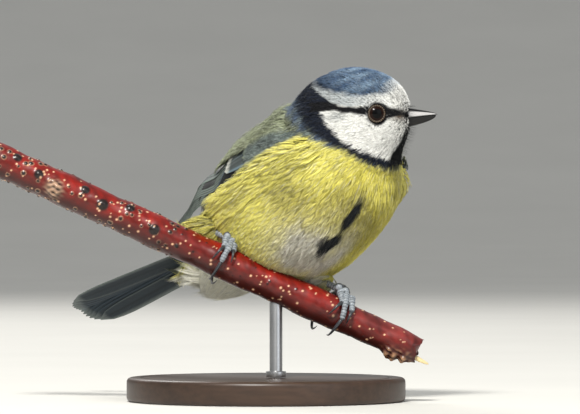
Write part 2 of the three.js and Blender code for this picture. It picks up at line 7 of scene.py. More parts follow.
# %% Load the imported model
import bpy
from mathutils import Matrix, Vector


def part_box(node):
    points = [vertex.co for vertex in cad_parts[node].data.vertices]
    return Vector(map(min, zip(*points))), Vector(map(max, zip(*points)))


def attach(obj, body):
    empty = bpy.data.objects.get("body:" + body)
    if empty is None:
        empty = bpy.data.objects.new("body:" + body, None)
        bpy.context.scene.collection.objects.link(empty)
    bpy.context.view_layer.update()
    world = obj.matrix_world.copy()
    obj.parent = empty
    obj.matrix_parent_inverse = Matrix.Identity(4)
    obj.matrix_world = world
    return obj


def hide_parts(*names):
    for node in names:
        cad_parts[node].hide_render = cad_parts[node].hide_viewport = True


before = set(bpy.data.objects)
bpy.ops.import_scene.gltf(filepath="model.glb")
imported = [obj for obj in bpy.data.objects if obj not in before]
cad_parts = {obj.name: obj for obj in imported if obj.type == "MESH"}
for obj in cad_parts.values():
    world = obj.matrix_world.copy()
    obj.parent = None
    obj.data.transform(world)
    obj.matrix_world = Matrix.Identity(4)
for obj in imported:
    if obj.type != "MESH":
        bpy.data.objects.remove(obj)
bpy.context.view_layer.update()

# %% Tools used below
import math

import bpy
import numpy as np
from mathutils import Vector

# %% [markdown]
# Feathers are told about in millimetres, because a blue tit is small, and Blender works in metres.
# The bird is measured from its own body centre, and the stand's base tells where that is here.

# %% Sizes and places
MM = 0.001
BASE_AT = np.array([13.0, 5.0])  # the base's middle in the bird's own measures
base_low, base_high = (np.array(corner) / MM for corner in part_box("stand_base"))
SHIFT = np.append((base_low + base_high)[:2] / 2 - BASE_AT, 0)
BODY_CENTRE = np.array([20.8, 8, 50.6]) + SHIFT
HEAD_CENTRE = np.array([35, -7, 71.6]) + SHIFT
print("the bird's measures start at", SHIFT.round(2), "mm")


def directions(heading, pitch, roll):
    """Forward, right and up of a thing that is turned, lifted and rolled, in degrees."""
    h, p, r = np.radians([heading, pitch, roll])
    forward = np.array([np.cos(h) * np.cos(p), -np.sin(h) * np.cos(p), np.sin(p)])
    level = np.array([-np.sin(h), -np.cos(h), 0])
    above = np.array([-np.cos(h) * np.sin(p), np.sin(h) * np.sin(p), np.cos(p)])
    right = level * np.cos(r) + above * np.sin(r)
    return forward, right, above * np.cos(r) - level * np.sin(r)


BODY = directions(43, 26, 16)
HEAD = directions(4, 3, 0)
TAIL = directions(36, 20, 30)


def place(origin, axes, along, side, rise):
    """A point by its distances along a set of directions; arrays give many points."""
    parts = np.broadcast_arrays(*(np.asarray(v, float) for v in (along, side, rise)))
    return origin + sum(v[..., None] * axis for v, axis in zip(parts, axes))


# %% [markdown]
# A songbird's outline is its plumage, not its flesh: a few egg shapes that flow into each other. The
# same smooth union that shaped the solids is worked out here as a distance, so that the skin, the
# roots of the feathers and the folded wings can all be laid at a chosen depth under or over it.

# %% The plumage outline as a distance
def egg(points, centre, axes, radii):
    """How far points are outside an egg shape, and less than 0 inside it."""
    local = np.stack([(points - centre) @ axis for axis in axes], -1)
    near = np.linalg.norm(local / radii, axis=-1)
    far = np.linalg.norm(local / np.square(radii), axis=-1)
    return near * (near - 1) / np.maximum(far, 1e-9)


def cone(points, start, end, start_radius, end_radius):
    """The same for a round bar whose radius changes evenly from one end to the other."""
    line = end - start
    t = np.clip((points - start) @ line / (line @ line), 0, 1)
    gap = np.linalg.norm(points - (start + t[..., None] * line), axis=-1)
    return gap - (start_radius + (end_radius - start_radius) * t)


def melt(a, b, width):
    """The smaller of two distances, with the corner between them rounded."""
    h = np.clip(0.5 + 0.5 * (b - a) / width, 0, 1)
    return b + (a - b) * h - width * h * (1 - h)


BREAST_CENTRE = place(BODY_CENTRE, BODY, 12, 0, 3)
VENT_CENTRE = place(BODY_CENTRE, BODY, -24, 0, -7)
RUMP = [place(BODY_CENTRE, BODY, -14, 0, 0), place(BODY_CENTRE, BODY, -40, 0, 1)]
GUIDE = [place(BODY_CENTRE, BODY, -10, 0, 0), place(BODY_CENTRE, BODY, -50, 0, 2.5)]
NAPE_CENTRE = place(HEAD_CENTRE, HEAD, -9, 0, -1)
SKULL_RADII = [14.2, 11.3, 11.6]


def body_place(points):
    """Distance along the body, and the angle round it: 0 on the back and 180 on the belly."""
    local = points - BODY_CENTRE
    along, side, rise = (local @ axis for axis in BODY)
    return along, np.degrees(np.arctan2(np.abs(side), rise))


def ramp(value, start, end):
    """0 before the start and 1 past the end, which may lie either way round, smooth between."""
    t = np.clip((value - start) / (end - start), 0, 1)
    return t * t * (3 - 2 * t)


WING_BED_DEPTH = 3.1


def wing_bed(points):
    """How far the plumage is sunk where a folded wing lies on it."""
    along, angle = body_place(points)
    lengthwise = ramp(along, -22, -12) * ramp(along, 28, 17)
    return WING_BED_DEPTH * lengthwise * ramp(angle, 16, 34) * ramp(angle, 92, 78)


def torso_distance(points):
    main = egg(points, BODY_CENTRE, BODY, [29.5, 20.5, 21.5])
    breast = egg(points, BREAST_CENTRE, BODY, [19, 19, 18])
    vent = egg(points, VENT_CENTRE, BODY, [10, 8, 7.5])
    return melt(melt(melt(main, cone(points, *RUMP, 11, 3.6), 6), breast, 5), vent, 5)


def plumage_distance(points):
    skull = egg(points, HEAD_CENTRE, HEAD, SKULL_RADII)
    nape = egg(points, NAPE_CENTRE, HEAD, [9, 9.5, 9.5])
    return melt(torso_distance(points), melt(skull, nape, 4), 7) + wing_bed(points)


def wing_guide(points):
    """The surface that the folded wings lie on, which carries on over the root of the tail."""
    return melt(torso_distance(points), cone(points, *GUIDE, 13, 8), 8) + wing_bed(points)


def reach(distance, starts, rays, level):
    """How far along each ray the distance grows to the level."""
    inside, outside = np.zeros(len(rays)), np.full(len(rays), 70.0)
    for _ in range(24):
        middle = (inside + outside) / 2
        under = distance(starts + rays * middle[:, None]) < level
        inside, outside = np.where(under, middle, inside), np.where(under, outside, middle)
    return inside


def outward(distance, points):
    """The unit normal of the outline's layers at each point."""
    step = 0.05
    slopes = [distance(points + step * axis) - distance(points - step * axis) for axis in np.eye(3)]
    return unit(np.stack(slopes, -1))


def unit(vectors):
    return vectors / np.maximum(np.linalg.norm(vectors, axis=-1, keepdims=True), 1e-9)


# %% [markdown]
# Feathers, scutes and bark are thousands of like faces, which no hand could place. They are worked
# out as arrays of points and written into a mesh at once. The piece keeps its place in its mesh.

# %% Writing arrays into meshes
def write_piece(name, points, faces):
    """A mesh object from points in millimetres and faces that all have the same count of corners."""
    mesh = bpy.data.meshes.new(name)
    mesh.vertices.add(len(points))
    move_points(mesh, points)
    mesh.loops.add(faces.size)
    mesh.loops.foreach_set("vertex_index", faces.astype(np.int32).ravel())
    mesh.polygons.add(len(faces))
    starts = np.arange(0, faces.size, faces.shape[1], dtype=np.int32)
    mesh.polygons.foreach_set("loop_start", starts)
    mesh.polygons.foreach_set("use_smooth", np.ones(len(faces), bool))
    mesh.update(calc_edges=True)
    piece = bpy.data.objects.new(name, mesh)
    bpy.context.scene.collection.objects.link(piece)
    return piece


def points_of(piece, measure=MM):
    """Where the points of a piece are, in millimetres unless another measure is given."""
    return np.array([v.co for v in piece.data.vertices], float) / measure


def move_points(mesh, points):
    mesh.vertices.foreach_set("co", (points * MM).astype(np.float32).ravel())


def paint(piece, colours):
    """Stores a linear colour for each point, which the piece's material reads by its name."""
    rgba = np.ones((len(colours), 4), np.float32)
    rgba[:, :3] = colours
    layer = piece.data.attributes.new("plumage", "FLOAT_COLOR", "POINT")
    layer.data.foreach_set("color", rgba.ravel())


def map_points(piece, name, uv):
    """A UV map that gives each face corner the place of its point."""
    corners = np.zeros(len(piece.data.loops), np.int32)
    piece.data.loops.foreach_get("vertex_index", corners)
    layer = piece.data.uv_layers.new(name=name)
    layer.data.foreach_set("uv", uv[corners].astype(np.float32).ravel())


def settle(piece, slot, *nodes):
    """Last steps of every piece: it rides on the body and hides the imported parts it stands for."""
    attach(piece, "root")
    if nodes:
        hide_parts(*nodes)
    piece.data.calc_loop_triangles()
    print(f"{piece.name}: {len(piece.data.loop_triangles)} triangles")
    return piece


def only(piece):
    """Leaves this piece alone selected and active, because an operator acts on all that is."""
    bpy.ops.object.select_all(action="DESELECT")
    piece.select_set(True)
    bpy.context.view_layer.objects.active = piece


# %% [markdown]
# The other pieces start as primitives. Three small tools do what most of them need: they add a
# primitive with nothing else selected, apply a modifier with its settings, and turn all faces
# outwards.

# %% Working with primitives
def add_primitive(name, primitive, **settings):
    """A smooth primitive on its own, with its place, turn and size moved into its mesh."""
    bpy.ops.object.select_all(action="DESELECT")
    primitive(**settings)
    bpy.ops.object.transform_apply(location=True, rotation=True, scale=True)
    bpy.ops.object.shade_smooth()
    piece = bpy.context.object
    piece.name = piece.data.name = name
    return piece


def modify(piece, kind, **settings):
    """Adds a modifier with its settings and applies it."""
    only(piece)
    modifier = piece.modifiers.new(kind.lower(), kind)
    for setting, value in settings.items():
        setattr(modifier, setting, value)
    bpy.ops.object.modifier_apply(modifier=modifier.name)


def face_out(piece, open_ends=True):
    """Fills the open ends, where there are any, and turns every face outwards."""
    only(piece)
    bpy.ops.object.mode_set(mode="EDIT")
    if open_ends:
        bpy.ops.mesh.select_all(action="DESELECT")
        bpy.ops.mesh.select_non_manifold()
        bpy.ops.mesh.fill_holes(sides=0)
    bpy.ops.mesh.select_all(action="SELECT")
    bpy.ops.mesh.normals_make_consistent(inside=False)
    bpy.ops.object.mode_set(mode="OBJECT")


# %% Working with colours
def srgb(red, green, blue):
    """A colour as seen on a screen, 0 to 255, as the linear colour that light works with."""
    c = np.array([red, green, blue]) / 255
    return np.where(c <= 0.04045, c / 12.92, ((c + 0.055) / 1.055) ** 2.4)


def blend_to(a, b, share):
    """A colour or colours led from a towards b by a share for each point."""
    return a + (b - a) * np.clip(share, 0, 1)[..., None]


def soft_step(value, edge, width):
    """0 below an edge and 1 above it, with a straight slope of a width between."""
    return np.clip((value - edge) / width + 0.5, 0, 1)


# %% [markdown]
# Every blue tit wears the same pattern: a blue cap in a white ring, a dark stripe through the eye, a
# white cheek in a navy collar, a black bib, a greenish back and a yellow breast with a dark line
# down the belly. The pattern is given here as a few lengths and angles on the head and the body, so
# that the skin and every feather take their colour from the same place.

# %% Plumage colours
CAP = srgb(60, 86, 120)
CAP_PALE = srgb(140, 166, 190)
WHITE = srgb(240, 240, 236)
BROW_GREY = srgb(190, 196, 198)
NAVY = srgb(24, 31, 46)
STRIPE = srgb(15, 16, 21)
LORES = srgb(122, 104, 88)
BIB = srgb(19, 20, 23)
NAPE_BLUE = srgb(98, 116, 140)
MANTLE = srgb(158, 166, 136)
YELLOW = srgb(234, 226, 118)
YELLOW_DEEP = srgb(200, 188, 62)
OLIVE = srgb(150, 142, 84)
BELLY = srgb(206, 202, 186)
BELLY_LINE = srgb(30, 33, 36)
VENT = srgb(228, 226, 210)
COVERT = srgb(136, 150, 146)


def ripple(points, scale, seed):
    """A cheap smooth noise from -1 to 1 that makes the edges of the markings uneven."""
    turn = np.random.default_rng(seed).normal(0, 1 / scale, (3, 4))
    return np.sin(points @ turn + np.arange(4)).mean(-1) * 1.6


def head_place(points):
    """Distances forward of the head's centre, out to either side, and up."""
    local = points - HEAD_CENTRE
    return local @ HEAD[0], np.abs(local @ HEAD[1]), local @ HEAD[2]


# %% Colours of the body
def body_colour(points):
    along, angle = body_place(points)
    uneven = ripple(points, 2.2, 3)
    slow = ripple(points, 5, 4)
    colour = blend_to(YELLOW, YELLOW_DEEP, 0.75 * soft_step(angle, 122, 50) * (0.6 + 0.4 * slow))
    olive = soft_step(slow + 0.3 * uneven, 0.5, 0.7) * soft_step(angle, 104, 20)
    colour = blend_to(colour, OLIVE, 0.5 * olive)
    near_side = (points - BODY_CENTRE) @ BODY[1] > 0
    belly = np.exp(-(((along - 5.5) / 9) ** 2) - ((angle - 167) / 25) ** 2)
    belly = belly * np.where(near_side, 1, ramp(angle, 160, 176))
    colour = blend_to(colour, BELLY, 1.4 * belly + 0.3 * uneven * belly)
    vent = soft_step(-along, 17 + 2 * uneven, 6) * soft_step(angle, 112, 24)
    colour = blend_to(colour, VENT, vent)
    half = np.interp(along, [5, 9, 12, 15, 18, 22, 25], [1, 5.5, 6, 2.6, 4.4, 3.4, 0.5])
    line = soft_step(-np.abs(angle - 172.5), -half - 2.6 * uneven, 2.5) * near_side
    line = line * soft_step(along, 6, 3) * soft_step(-along, -24, 2)
    colour = blend_to(colour, BELLY_LINE, line)
    back_edge = np.interp(along, [-8, 1, 9, 16, 24], [86, 89, 85, 80.5, 79])
    back = soft_step(-angle, -back_edge + 2 * uneven, 5)
    green = blend_to(MANTLE, MANTLE * 0.66, 0.5 + 0.6 * uneven)
    return blend_to(colour, green, back)


def shoulder_colour(points):
    """The small coverts: blue-grey, with greenish ends nearer the back."""
    along, angle = body_place(points)
    uneven = ripple(points, 1.6, 6)
    blue = blend_to(COVERT, COVERT * 0.6, 0.5 + 0.6 * uneven)
    return blend_to(blue, MANTLE * 0.9, soft_step(-angle, -67 + 3 * uneven, 9))


# %% Where the eyes are
EYE_RADIUS = 2.9
EYE_SHOWN = 2.15  # radius of the round opening between the lids
EYE_SETTLE = np.array([0.15, 0, -0.65])  # from the middle of the eye's solid, as photographed
EYE_CENTRES = {
    hand: np.sum(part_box(f"eye_{hand}"), axis=0) / 2 / MM + EYE_SETTLE for hand in ("right", "left")
}
HANDS = {"right": 1, "left": -1}


def eye_facing(hand):
    return unit(HEAD[1] * hand + HEAD[0] * 0.28)


def from_eye(points):
    """Distance from the nearer eye's axis, and the unit direction away from it."""
    nearest, away = np.full(points.shape[:-1], 1e3), np.zeros(points.shape)
    for name, hand in HANDS.items():
        local = points - EYE_CENTRES[name]
        deep = local @ eye_facing(hand)
        radial = local - deep[..., None] * eye_facing(hand)
        far = np.where(deep > 0, np.linalg.norm(radial, axis=-1), 1e3)
        closer = far < nearest
        nearest = np.where(closer, far, nearest)
        away = np.where(closer[..., None], unit(radial), away)
    return nearest, away


# %% Colours of the head
CHEEK_MIDDLE = 6.0  # forward of the head's centre

# By the angle round the cheek's middle, in degrees, how far off its edges are.
CHEEK_EDGE = [
    (172, 14.6), (186, 13.1), (208, 11.5), (231, 10.6), (255, 10.3), (273, 11.4), (290, 12.6)
]
COLLAR_EDGE = [
    (150, 22), (173, 20.6), (189, 18), (205, 15), (224, 12.6), (241, 12.2), (261, 13), (280, 14.6)
]
NAPE_WIDTH = [(150, 4), (173, 3.6), (189, 2.4), (205, 0.8), (224, 0)]

# By the distance forward of the head's centre, how high the eye stripe and the brow's edge are.
STRIPE_LINE = [
    (-7, 2.4), (-5.3, 2.05), (-1.6, 1.15), (2, 0.85), (6, 0.05), (9.8, -0.2), (13.3, -0.7)
]
BROW_LINE = [(-9.8, 7.1), (-7.6, 5.2), (-5, 2.9), (-1, 1.9), (4, 1.8), (9, 1.6), (14, 0.6)]


def along_line(line, value):
    """Reads a line of (value, result) pairs between its pairs."""
    return np.interp(value, *zip(*line))


def head_colour(points):
    """The face's markings, each laid over the last, over the colours of the body."""
    ahead, side, up = head_place(points)
    uneven = ripple(points, 0.9, 5)
    around = np.degrees(np.arctan2(up, ahead - CHEEK_MIDDLE)) % 360
    from_cheek = np.hypot(up, ahead - CHEEK_MIDDLE)
    collar_edge = along_line(COLLAR_EDGE, around) + 0.3 * uneven
    behind = around > 140
    colour = body_colour(points)
    nape = soft_step(-from_cheek, -collar_edge - along_line(NAPE_WIDTH, around), 1.6) * behind
    colour = blend_to(colour, NAPE_BLUE, nape * (0.85 + 0.3 * uneven))
    collar_blur = 1.2 + 0.1 * np.clip(240 - around, 0, 90) / 9
    collar = soft_step(-from_cheek, -collar_edge, collar_blur) * behind
    colour = blend_to(colour, NAVY, collar)
    below = (up < 3) & behind
    cheek = soft_step(-from_cheek, -along_line(CHEEK_EDGE, around) + 0.25 * uneven, 0.7) * below
    cheek = np.maximum(cheek, (up > -3) & (up < 3) & (ahead > -7.2))
    colour = blend_to(colour, WHITE, cheek)
    smudge = np.exp(-(((ahead + 4) / 2.6) ** 2) - ((up + 0.3) / 1.3) ** 2)
    colour = blend_to(colour, BROW_GREY * 0.6, 0.6 * smudge)
    bib_half = np.interp(up, [-12, -8, -4, -2], [3.4, 3.3, 3.0, 2.2])
    bib = soft_step(-side, -bib_half + 0.4 * uneven, 0.8) * (up < -1.4) * (ahead > 3)
    bib = bib * soft_step(up, -13.6, 1.4)
    colour = blend_to(colour, BIB, bib)
    brow = soft_step(up, along_line(BROW_LINE, ahead) + 0.15 * uneven, 0.5)
    brow = brow * soft_step(ahead, -9.6 + 0.3 * uneven, 1.4)
    brow_white = blend_to(WHITE, BROW_GREY, soft_step(-ahead, -4, 10))
    colour = blend_to(colour, brow_white, brow)
    cap_edge = 4.6 + 0.27 * np.maximum(0, 0.5 - ahead)
    cap = soft_step(up, cap_edge + 0.4 * uneven, 1.3) * soft_step(ahead, -9.4, 1.6)
    cap = cap * soft_step(-ahead, -(11.2 - 0.35 * side) + 0.6 * uneven, 2.6)
    # Painted highlight: the cap is painted paler over its middle.
    crown = np.exp(-(((ahead - 2) / 8) ** 2)) * (0.45 + 0.4 * uneven)
    blue = blend_to(CAP, CAP_PALE, crown + 0.7 * np.clip((ahead - 5) / 7, 0, 1))
    cap_rim = 0.5 * soft_step(-ahead, 6, 5) + 0.35 * soft_step(-up, -cap_edge - 1.4, 1.4)
    blue = blend_to(blue, NAVY, cap_rim)
    colour = blend_to(colour, blue, cap)
    lores = np.exp(-(((ahead - 11.6) / 2) ** 2) - ((up + 0.8) / 1.5) ** 2)
    colour = blend_to(colour, LORES, 0.75 * lores * (0.8 + 0.4 * uneven))
    half = np.interp(ahead, [-8, -2, 4, 8, 11, 14], [1.2, 0.75, 1.2, 1.4, 1.0, 0.7])
    stripe = soft_step(-np.abs(up - along_line(STRIPE_LINE, ahead)), -half + 0.3 * uneven, 0.55)
    stripe = stripe * (ahead > -10.5)
    colour = blend_to(colour, STRIPE, stripe)
    round_eye = soft_step(-from_eye(points)[0], -2.85 + 0.2 * uneven, 0.5)
    colour = blend_to(colour, STRIPE, round_eye)
    off_head = egg(points, HEAD_CENTRE, HEAD, SKULL_RADII) + 0.3 * uneven
    left = soft_step(-(points - HEAD_CENTRE) @ HEAD[1], 6, 2)  # the head is turned to this shoulder
    colour = blend_to(colour, NAVY, soft_step(off_head, 1.4, 0.8) * left * (up < 5))
    return blend_to(colour, body_colour(points), soft_step(off_head, 3.4, 1) * left)


def plumage_colour(points):
    ahead, _, up = head_place(points)
    near_head = (ahead > -22) & (up > -16)
    return np.where(near_head[:, None], head_colour(points), body_colour(points))


# %% [markdown]
# Under the feathers lies one skin, so that no seam between head, neck and body can show. It could be
# remeshed from the solids, but their facets would print through the coat. A fine ico sphere is
# pushed out along its rays until it lies just under the outline, less deep on the head where
# feathers are short, and the stem is cut out of it with a Boolean modifier.

# %% Skin
BODY_DEPTH = 1.5
HEAD_DEPTH = 0.7
UNDER_SHADE = 0.72  # painted shade: the skin under the coat is this much darker than the feathers over it
CHART_MIDDLE = place(BODY_CENTRE, BODY, 6, 0, 2)


def face_distance(points):
    """How far each point is from the middle of the face."""
    ahead, side, up = head_place(points)
    return np.linalg.norm(np.stack([ahead - 3, side, up - 2], -1), axis=-1)


def coat_depth(points):
    """How thick the coat is: thin on the face, deeper down the neck and over the body."""
    return HEAD_DEPTH + (BODY_DEPTH - HEAD_DEPTH) * np.clip((face_distance(points) - 10) / 10, 0, 1)


def skin_distance(points):
    return plumage_distance(points) + coat_depth(points)


def unwrap(points):
    """The skin laid out flat by the direction of each point from the body's centre."""
    local = unit(points - CHART_MIDDLE)
    ahead, side, up = (local @ axis for axis in BODY)
    round_body = np.arctan2(side, up) / (2 * np.pi) + 0.5
    return np.stack([round_body, np.arccos(np.clip(ahead, -1, 1)) / np.pi], -1)


skin = add_primitive("skin", bpy.ops.mesh.primitive_ico_sphere_add, subdivisions=6, radius=1)
rays = points_of(skin, 1)
skin_points = BODY_CENTRE + rays * reach(skin_distance, BODY_CENTRE, rays, 0)[:, None]
move_points(skin.data, skin_points)
print("skin surface of", len(skin_points), "points")

# %% [markdown]
# The stem runs under the belly and partly through the plumage, as a perch does when a bird settles
# on it. Its centre line and its radius are needed by the skin, the feathers, the toes and the bark.

# %% The stem's line
STEM_RADIUS = 4.15
STEM_SLOPE = np.radians(24.5)
STEM_LEFT, STEM_RIGHT = -55.5, 51.5
STEM_PASSES = np.array([-11.3, 0, 41.1])
STEM_ALONG = np.array([np.cos(STEM_SLOPE), 0, -np.sin(STEM_SLOPE)])
STEM_FRONT = np.array([0, -1.0, 0])
STEM_UP = np.array([np.sin(STEM_SLOPE), 0, np.cos(STEM_SLOPE)])


def stem_radius(x):
    taper = np.clip((x - 28) / (STEM_RIGHT - 28), 0, None) * 0.85
    return STEM_RADIUS - taper + 0.12 * np.sin(x * 0.31) + 0.08 * np.sin(x * 0.83 + 1)


def around_stem(x, angle, out):
    """A point by its x, its angle round the stem from the front over the top, and its height."""
    x, angle, out = np.broadcast_arrays(*(np.asarray(v, float) for v in (x, angle, out)))
    centre = STEM_PASSES + ((x - STEM_PASSES[0]) / STEM_ALONG[0])[..., None] * STEM_ALONG
    away = stem_radius(x) + out
    turn = np.radians(angle)
    front, up = away * np.cos(turn), away * np.sin(turn)
    offset = front[..., None] * STEM_FRONT + up[..., None] * STEM_UP
    return centre + offset + SHIFT


def stem_gap(points):
    """How far each point is from the bark, less than 0 inside, and the way out of the stem."""
    local = points - SHIFT - STEM_PASSES
    along = local @ STEM_ALONG
    away = local - along[..., None] * STEM_ALONG
    far = np.linalg.norm(away, axis=-1)
    gap = far - stem_radius(STEM_PASSES[0] + along * STEM_ALONG[0])
    return gap, away / np.maximum(far, 1e-6)[..., None]


# %% Cut the stem out of the skin
CLEARANCE = 0.35
stem_length = (STEM_RIGHT - STEM_LEFT) / STEM_ALONG[0]
bpy.ops.object.select_all(action="DESELECT")
bpy.ops.mesh.primitive_cylinder_add(
    vertices=48,
    radius=(STEM_RADIUS + CLEARANCE) * MM,
    depth=1.2 * stem_length * MM,
    location=(around_stem(0, 0, -stem_radius(0)) * MM).tolist(),
    rotation=(0, math.pi / 2 + STEM_SLOPE, 0),
)
cutter = bpy.context.object
modify(skin, "BOOLEAN", operation="DIFFERENCE", object=cutter)
bpy.data.objects.remove(cutter)
skin_at = points_of(skin)
paint(skin, plumage_colour(skin_at) * UNDER_SHADE)
map_points(skin, "OFBake", unwrap(skin_at))
settle(skin, "body_plumage", "torso", "neck", "head")

# %% [markdown]
# A small feather is a tuft of barbs that fan out from one root. On a real bird they overlap like
# roof tiles from the bill to the tail. Each tuft here is a fan of thin solid strands with three
# faces round and a pointed tip. Roots are scattered evenly over the skin, closer on the face.

# %% Scattering feather roots
NEIGHBOURS = [(a, b, c) for a in (-1, 0, 1) for b in (-1, 0, 1) for c in (-1, 0, 1)]
FACE_ROOM, BODY_ROOM = 0.5, 1.05
TRIES = 130000


def root_room(points):
    return FACE_ROOM + (BODY_ROOM - FACE_ROOM) * np.clip((face_distance(points) - 11) / 10, 0, 1)


def candidates(count, seed):
    """Points on the skin by rays from the body and from the head, in a mixed order."""
    rng = np.random.default_rng(seed)
    rays = unit(rng.normal(size=(count, 3)))
    from_head = rng.random(count) < 0.45
    starts = np.where(from_head[:, None], HEAD_CENTRE, CHART_MIDDLE)
    far = reach(skin_distance, starts, rays, 0)
    points = starts + rays * far[:, None]
    return points[~from_head | (far < 17)]


def spread_out(points, rooms):
    """Keeps the points that have room, none closer to another than its room."""
    cell = float(rooms.max())
    kept, grid = [], {}
    keys = np.floor(points / cell).astype(int)
    for index, (key, room) in enumerate(zip(map(tuple, keys), rooms)):
        near = [grid.get((key[0] + a, key[1] + b, key[2] + c), ()) for a, b, c in NEIGHBOURS]
        close = [k for group in near for k in group]
        if close and np.square(points[close] - points[index]).sum(-1).min() < room * room:
            continue
        grid.setdefault(key, []).append(index)
        kept.append(index)
    return points[kept]


roots = candidates(TRIES, 11)
roots = spread_out(roots, root_room(roots))
print(len(roots), "feather roots")

# %% [markdown]
# The lie of the coat decides how a bird looks. Feathers run back from the bill over the face, then
# turn down the neck and stream along the body to the tail, sagging a little towards the belly.

# %% Lie of the coat
BILL_BASE = place(HEAD_CENTRE, HEAD, 13.5, 0, -1)
SAG = np.array([0, 0, -0.22])


def in_surface(flow, normals):
    """Lays a direction flat in the surface that has these normals."""
    return unit(flow - (flow * normals).sum(-1, keepdims=True) * normals)


def lie(points, normals):
    """Which way the feathers run at each point of the skin, never in over an eye."""
    from_bill = unit(points - BILL_BASE)
    down_body = unit(-BODY[0] + SAG)
    share = np.clip((face_distance(points) - 12) / 9, 0, 1)[:, None]
    flow = from_bill * (1 - share) + down_body * share
    gap, away = from_eye(points)
    inward = np.minimum((flow * away).sum(-1), 0) * np.clip((5 - gap) / 2, 0, 1)
    return in_surface(flow - inward[:, None] * away, normals)


# %% Building tufts
# Four places along a strand: how far out they are, and the shares there of the fan's width and rise.
STATIONS = np.array([0.0, 0.34, 0.7, 1.0])
FAN = np.array([0.15, 0.7, 1.0, 0.85])
RISE = np.array([0.0, 0.62, 1.0, 1.0])
STRAND = np.array([0.8, 1.0, 0.75])  # the strand's own width at the first three
# Each strand is darker towards its root, partly for the feathers' own greyer bases and partly as
# painted shade between them, and a little paler at its tip.
SHADE = np.append(np.repeat([0.72, 0.92, 1.0], 3), 1.05)


def along_axis(lengths, axis):
    return lengths[..., None] * axis[:, None, None, :]


def clear_of(line):
    """Pushes strands out of the stem and off the open eyes."""
    gap, away = stem_gap(line)
    line = line + away * np.maximum(0.12 - gap, 0)[..., None]
    gap, away = from_eye(line)
    return line + away * np.maximum(EYE_SHOWN + 0.12 - gap, 0)[..., None]


def grow(name, roots, style, strands, seed, colour=None, flow=lie, layer=skin_distance):
    """One piece of coat: a fan of strands on each root, coloured by the plumage pattern."""
    colour = colour or plumage_colour
    rng = np.random.default_rng(seed)
    count = len(roots)
    normals = outward(layer, roots)
    length, width, rise, strand_width, bend = style(roots)
    lying = flow(roots, normals)
    side = np.cross(normals, lying)
    lying = unit(lying + side * rng.normal(0, 0.08, (count, 1)))
    side = np.cross(normals, lying)
    across = np.linspace(-1, 1, strands) + rng.normal(0, 0.5 / strands, (count, strands))
    reach_out = length[:, None] * (1 - 0.28 * across**2) * rng.normal(1, 0.09, (count, strands))
    lift = rise[:, None] * rng.normal(1, 0.09, (count, strands))
    far = reach_out[..., None] * STATIONS
    sideways = (0.5 * width)[:, None, None] * across[..., None] * FAN
    height = lift[..., None] * RISE - (far**2 + sideways**2) / (2 * bend[:, None, None])
    line = roots[:, None, None] + along_axis(far, lying) + along_axis(sideways, side)
    line = clear_of(line + along_axis(height, normals))
    half = (strand_width[:, None, None] * STRAND / 2) * rng.normal(1, 0.1, (count, strands, 1))
    rings = line[:, :, :3]
    left = rings - along_axis(half, side)
    right = rings + along_axis(half, side)
    top = rings + along_axis(0.5 * half, normals)
    corners = np.stack([left, top, right], 3).reshape(count, strands, 9, 3)
    points = np.concatenate([corners, line[:, :, 3:]], 2)
    tint = colour(line[:, :, 2].reshape(-1, 3)).reshape(count, strands, 1, 3)
    spread = 0.05 + 0.17 * (1 - tint.mean(-1, keepdims=True)) ** 2
    tint = tint * (1 + (0.6 * spread.mean(1, keepdims=True)) * rng.normal(0, 1, (count, 1, 1, 1)))
    tint = tint * np.clip(1 + spread * rng.normal(0, 1, (count, strands, 1, 1)), 0.4, 1.8)
    pale = rng.random((count, strands, 1, 1)) ** 5
    tint = tint + (tint.mean(-1, keepdims=True) * 1.25 - tint) * 0.5 * pale
    faces = (STRAND_FACES + 10 * np.arange(count * strands)[:, None, None]).reshape(-1, 3)
    piece = write_piece(name, points.reshape(-1, 3), faces)
    paint(piece, np.clip(tint * SHADE[:, None], 0, 1).reshape(-1, 3))
    patch = unwrap(roots)[:, None, None] + 0.003 * (STRAND_PATCH - 0.5)
    patch = patch + 0.003 * ((np.arange(strands) + 0.5) / strands - 0.5)[:, None, None] * [1, 0]
    map_points(piece, "OFBake", patch.reshape(-1, 2))
    return piece


def strand_faces():
    """Two bands of three sides, a pointed end, and a face over the root."""
    faces = []
    for ring in (0, 3):
        for k in range(3):
            a, b = ring + k, ring + (k + 1) % 3
            faces += [(a, b, a + 3), (b, b + 3, a + 3)]
    faces += [(6, 7, 9), (7, 8, 9), (8, 6, 9), (0, 2, 1)]
    return np.array(faces)


STRAND_FACES = strand_faces()
STRAND_PATCH = np.array([(0.48 + 0.02 * (i % 3), 0.33 * (i // 3)) for i in range(10)])
print(len(STRAND_FACES), "faces on each strand")

# %% [markdown]
# Where the wings fold over the flanks, or an eye, the bill or a foot stands out, no feather grows.
# The wings lie in a chart of the body: distance along it and angle round it from the middle of the
# back. The same chart tells which roots a wing hides.

# %% Where feathers grow
FOOT_X = {"right": 1.5, "left": 29.4}
PALM_OUT = 1.8


def bare(points):
    """True where no small feather is rooted."""
    along, angle = body_place(points)
    wing_edge = np.interp(along, [-22, -8, 1, 9, 14], [78, 83, 86, 83, 76])
    under_wing = (angle > 44) & (angle < wing_edge) & (along < 14) & (along > -22)
    ahead, side, up = head_place(points)
    at_bill = (ahead > 12.2) & (side < 1.9) & (up > -3.1) & (up < 1.2)
    gap, _ = stem_gap(points)
    at_foot = np.zeros(len(points), bool)
    for x in FOOT_X.values():
        at_foot |= np.linalg.norm(points - around_stem(x, 86, PALM_OUT), axis=-1) < 2.6
    return under_wing | (from_eye(points)[0] < EYE_SHOWN + 0.1) | at_bill | (gap < 0.4) | at_foot


roots = roots[~bare(roots)]
print(len(roots), "roots after the bare places")

# %% [markdown]
# Feathers on the face are barely two millimetres long and lie flat. They lengthen down the neck to
# loose, soft ones on the flanks and round the vent. The bib's are bristly and stand out a little.

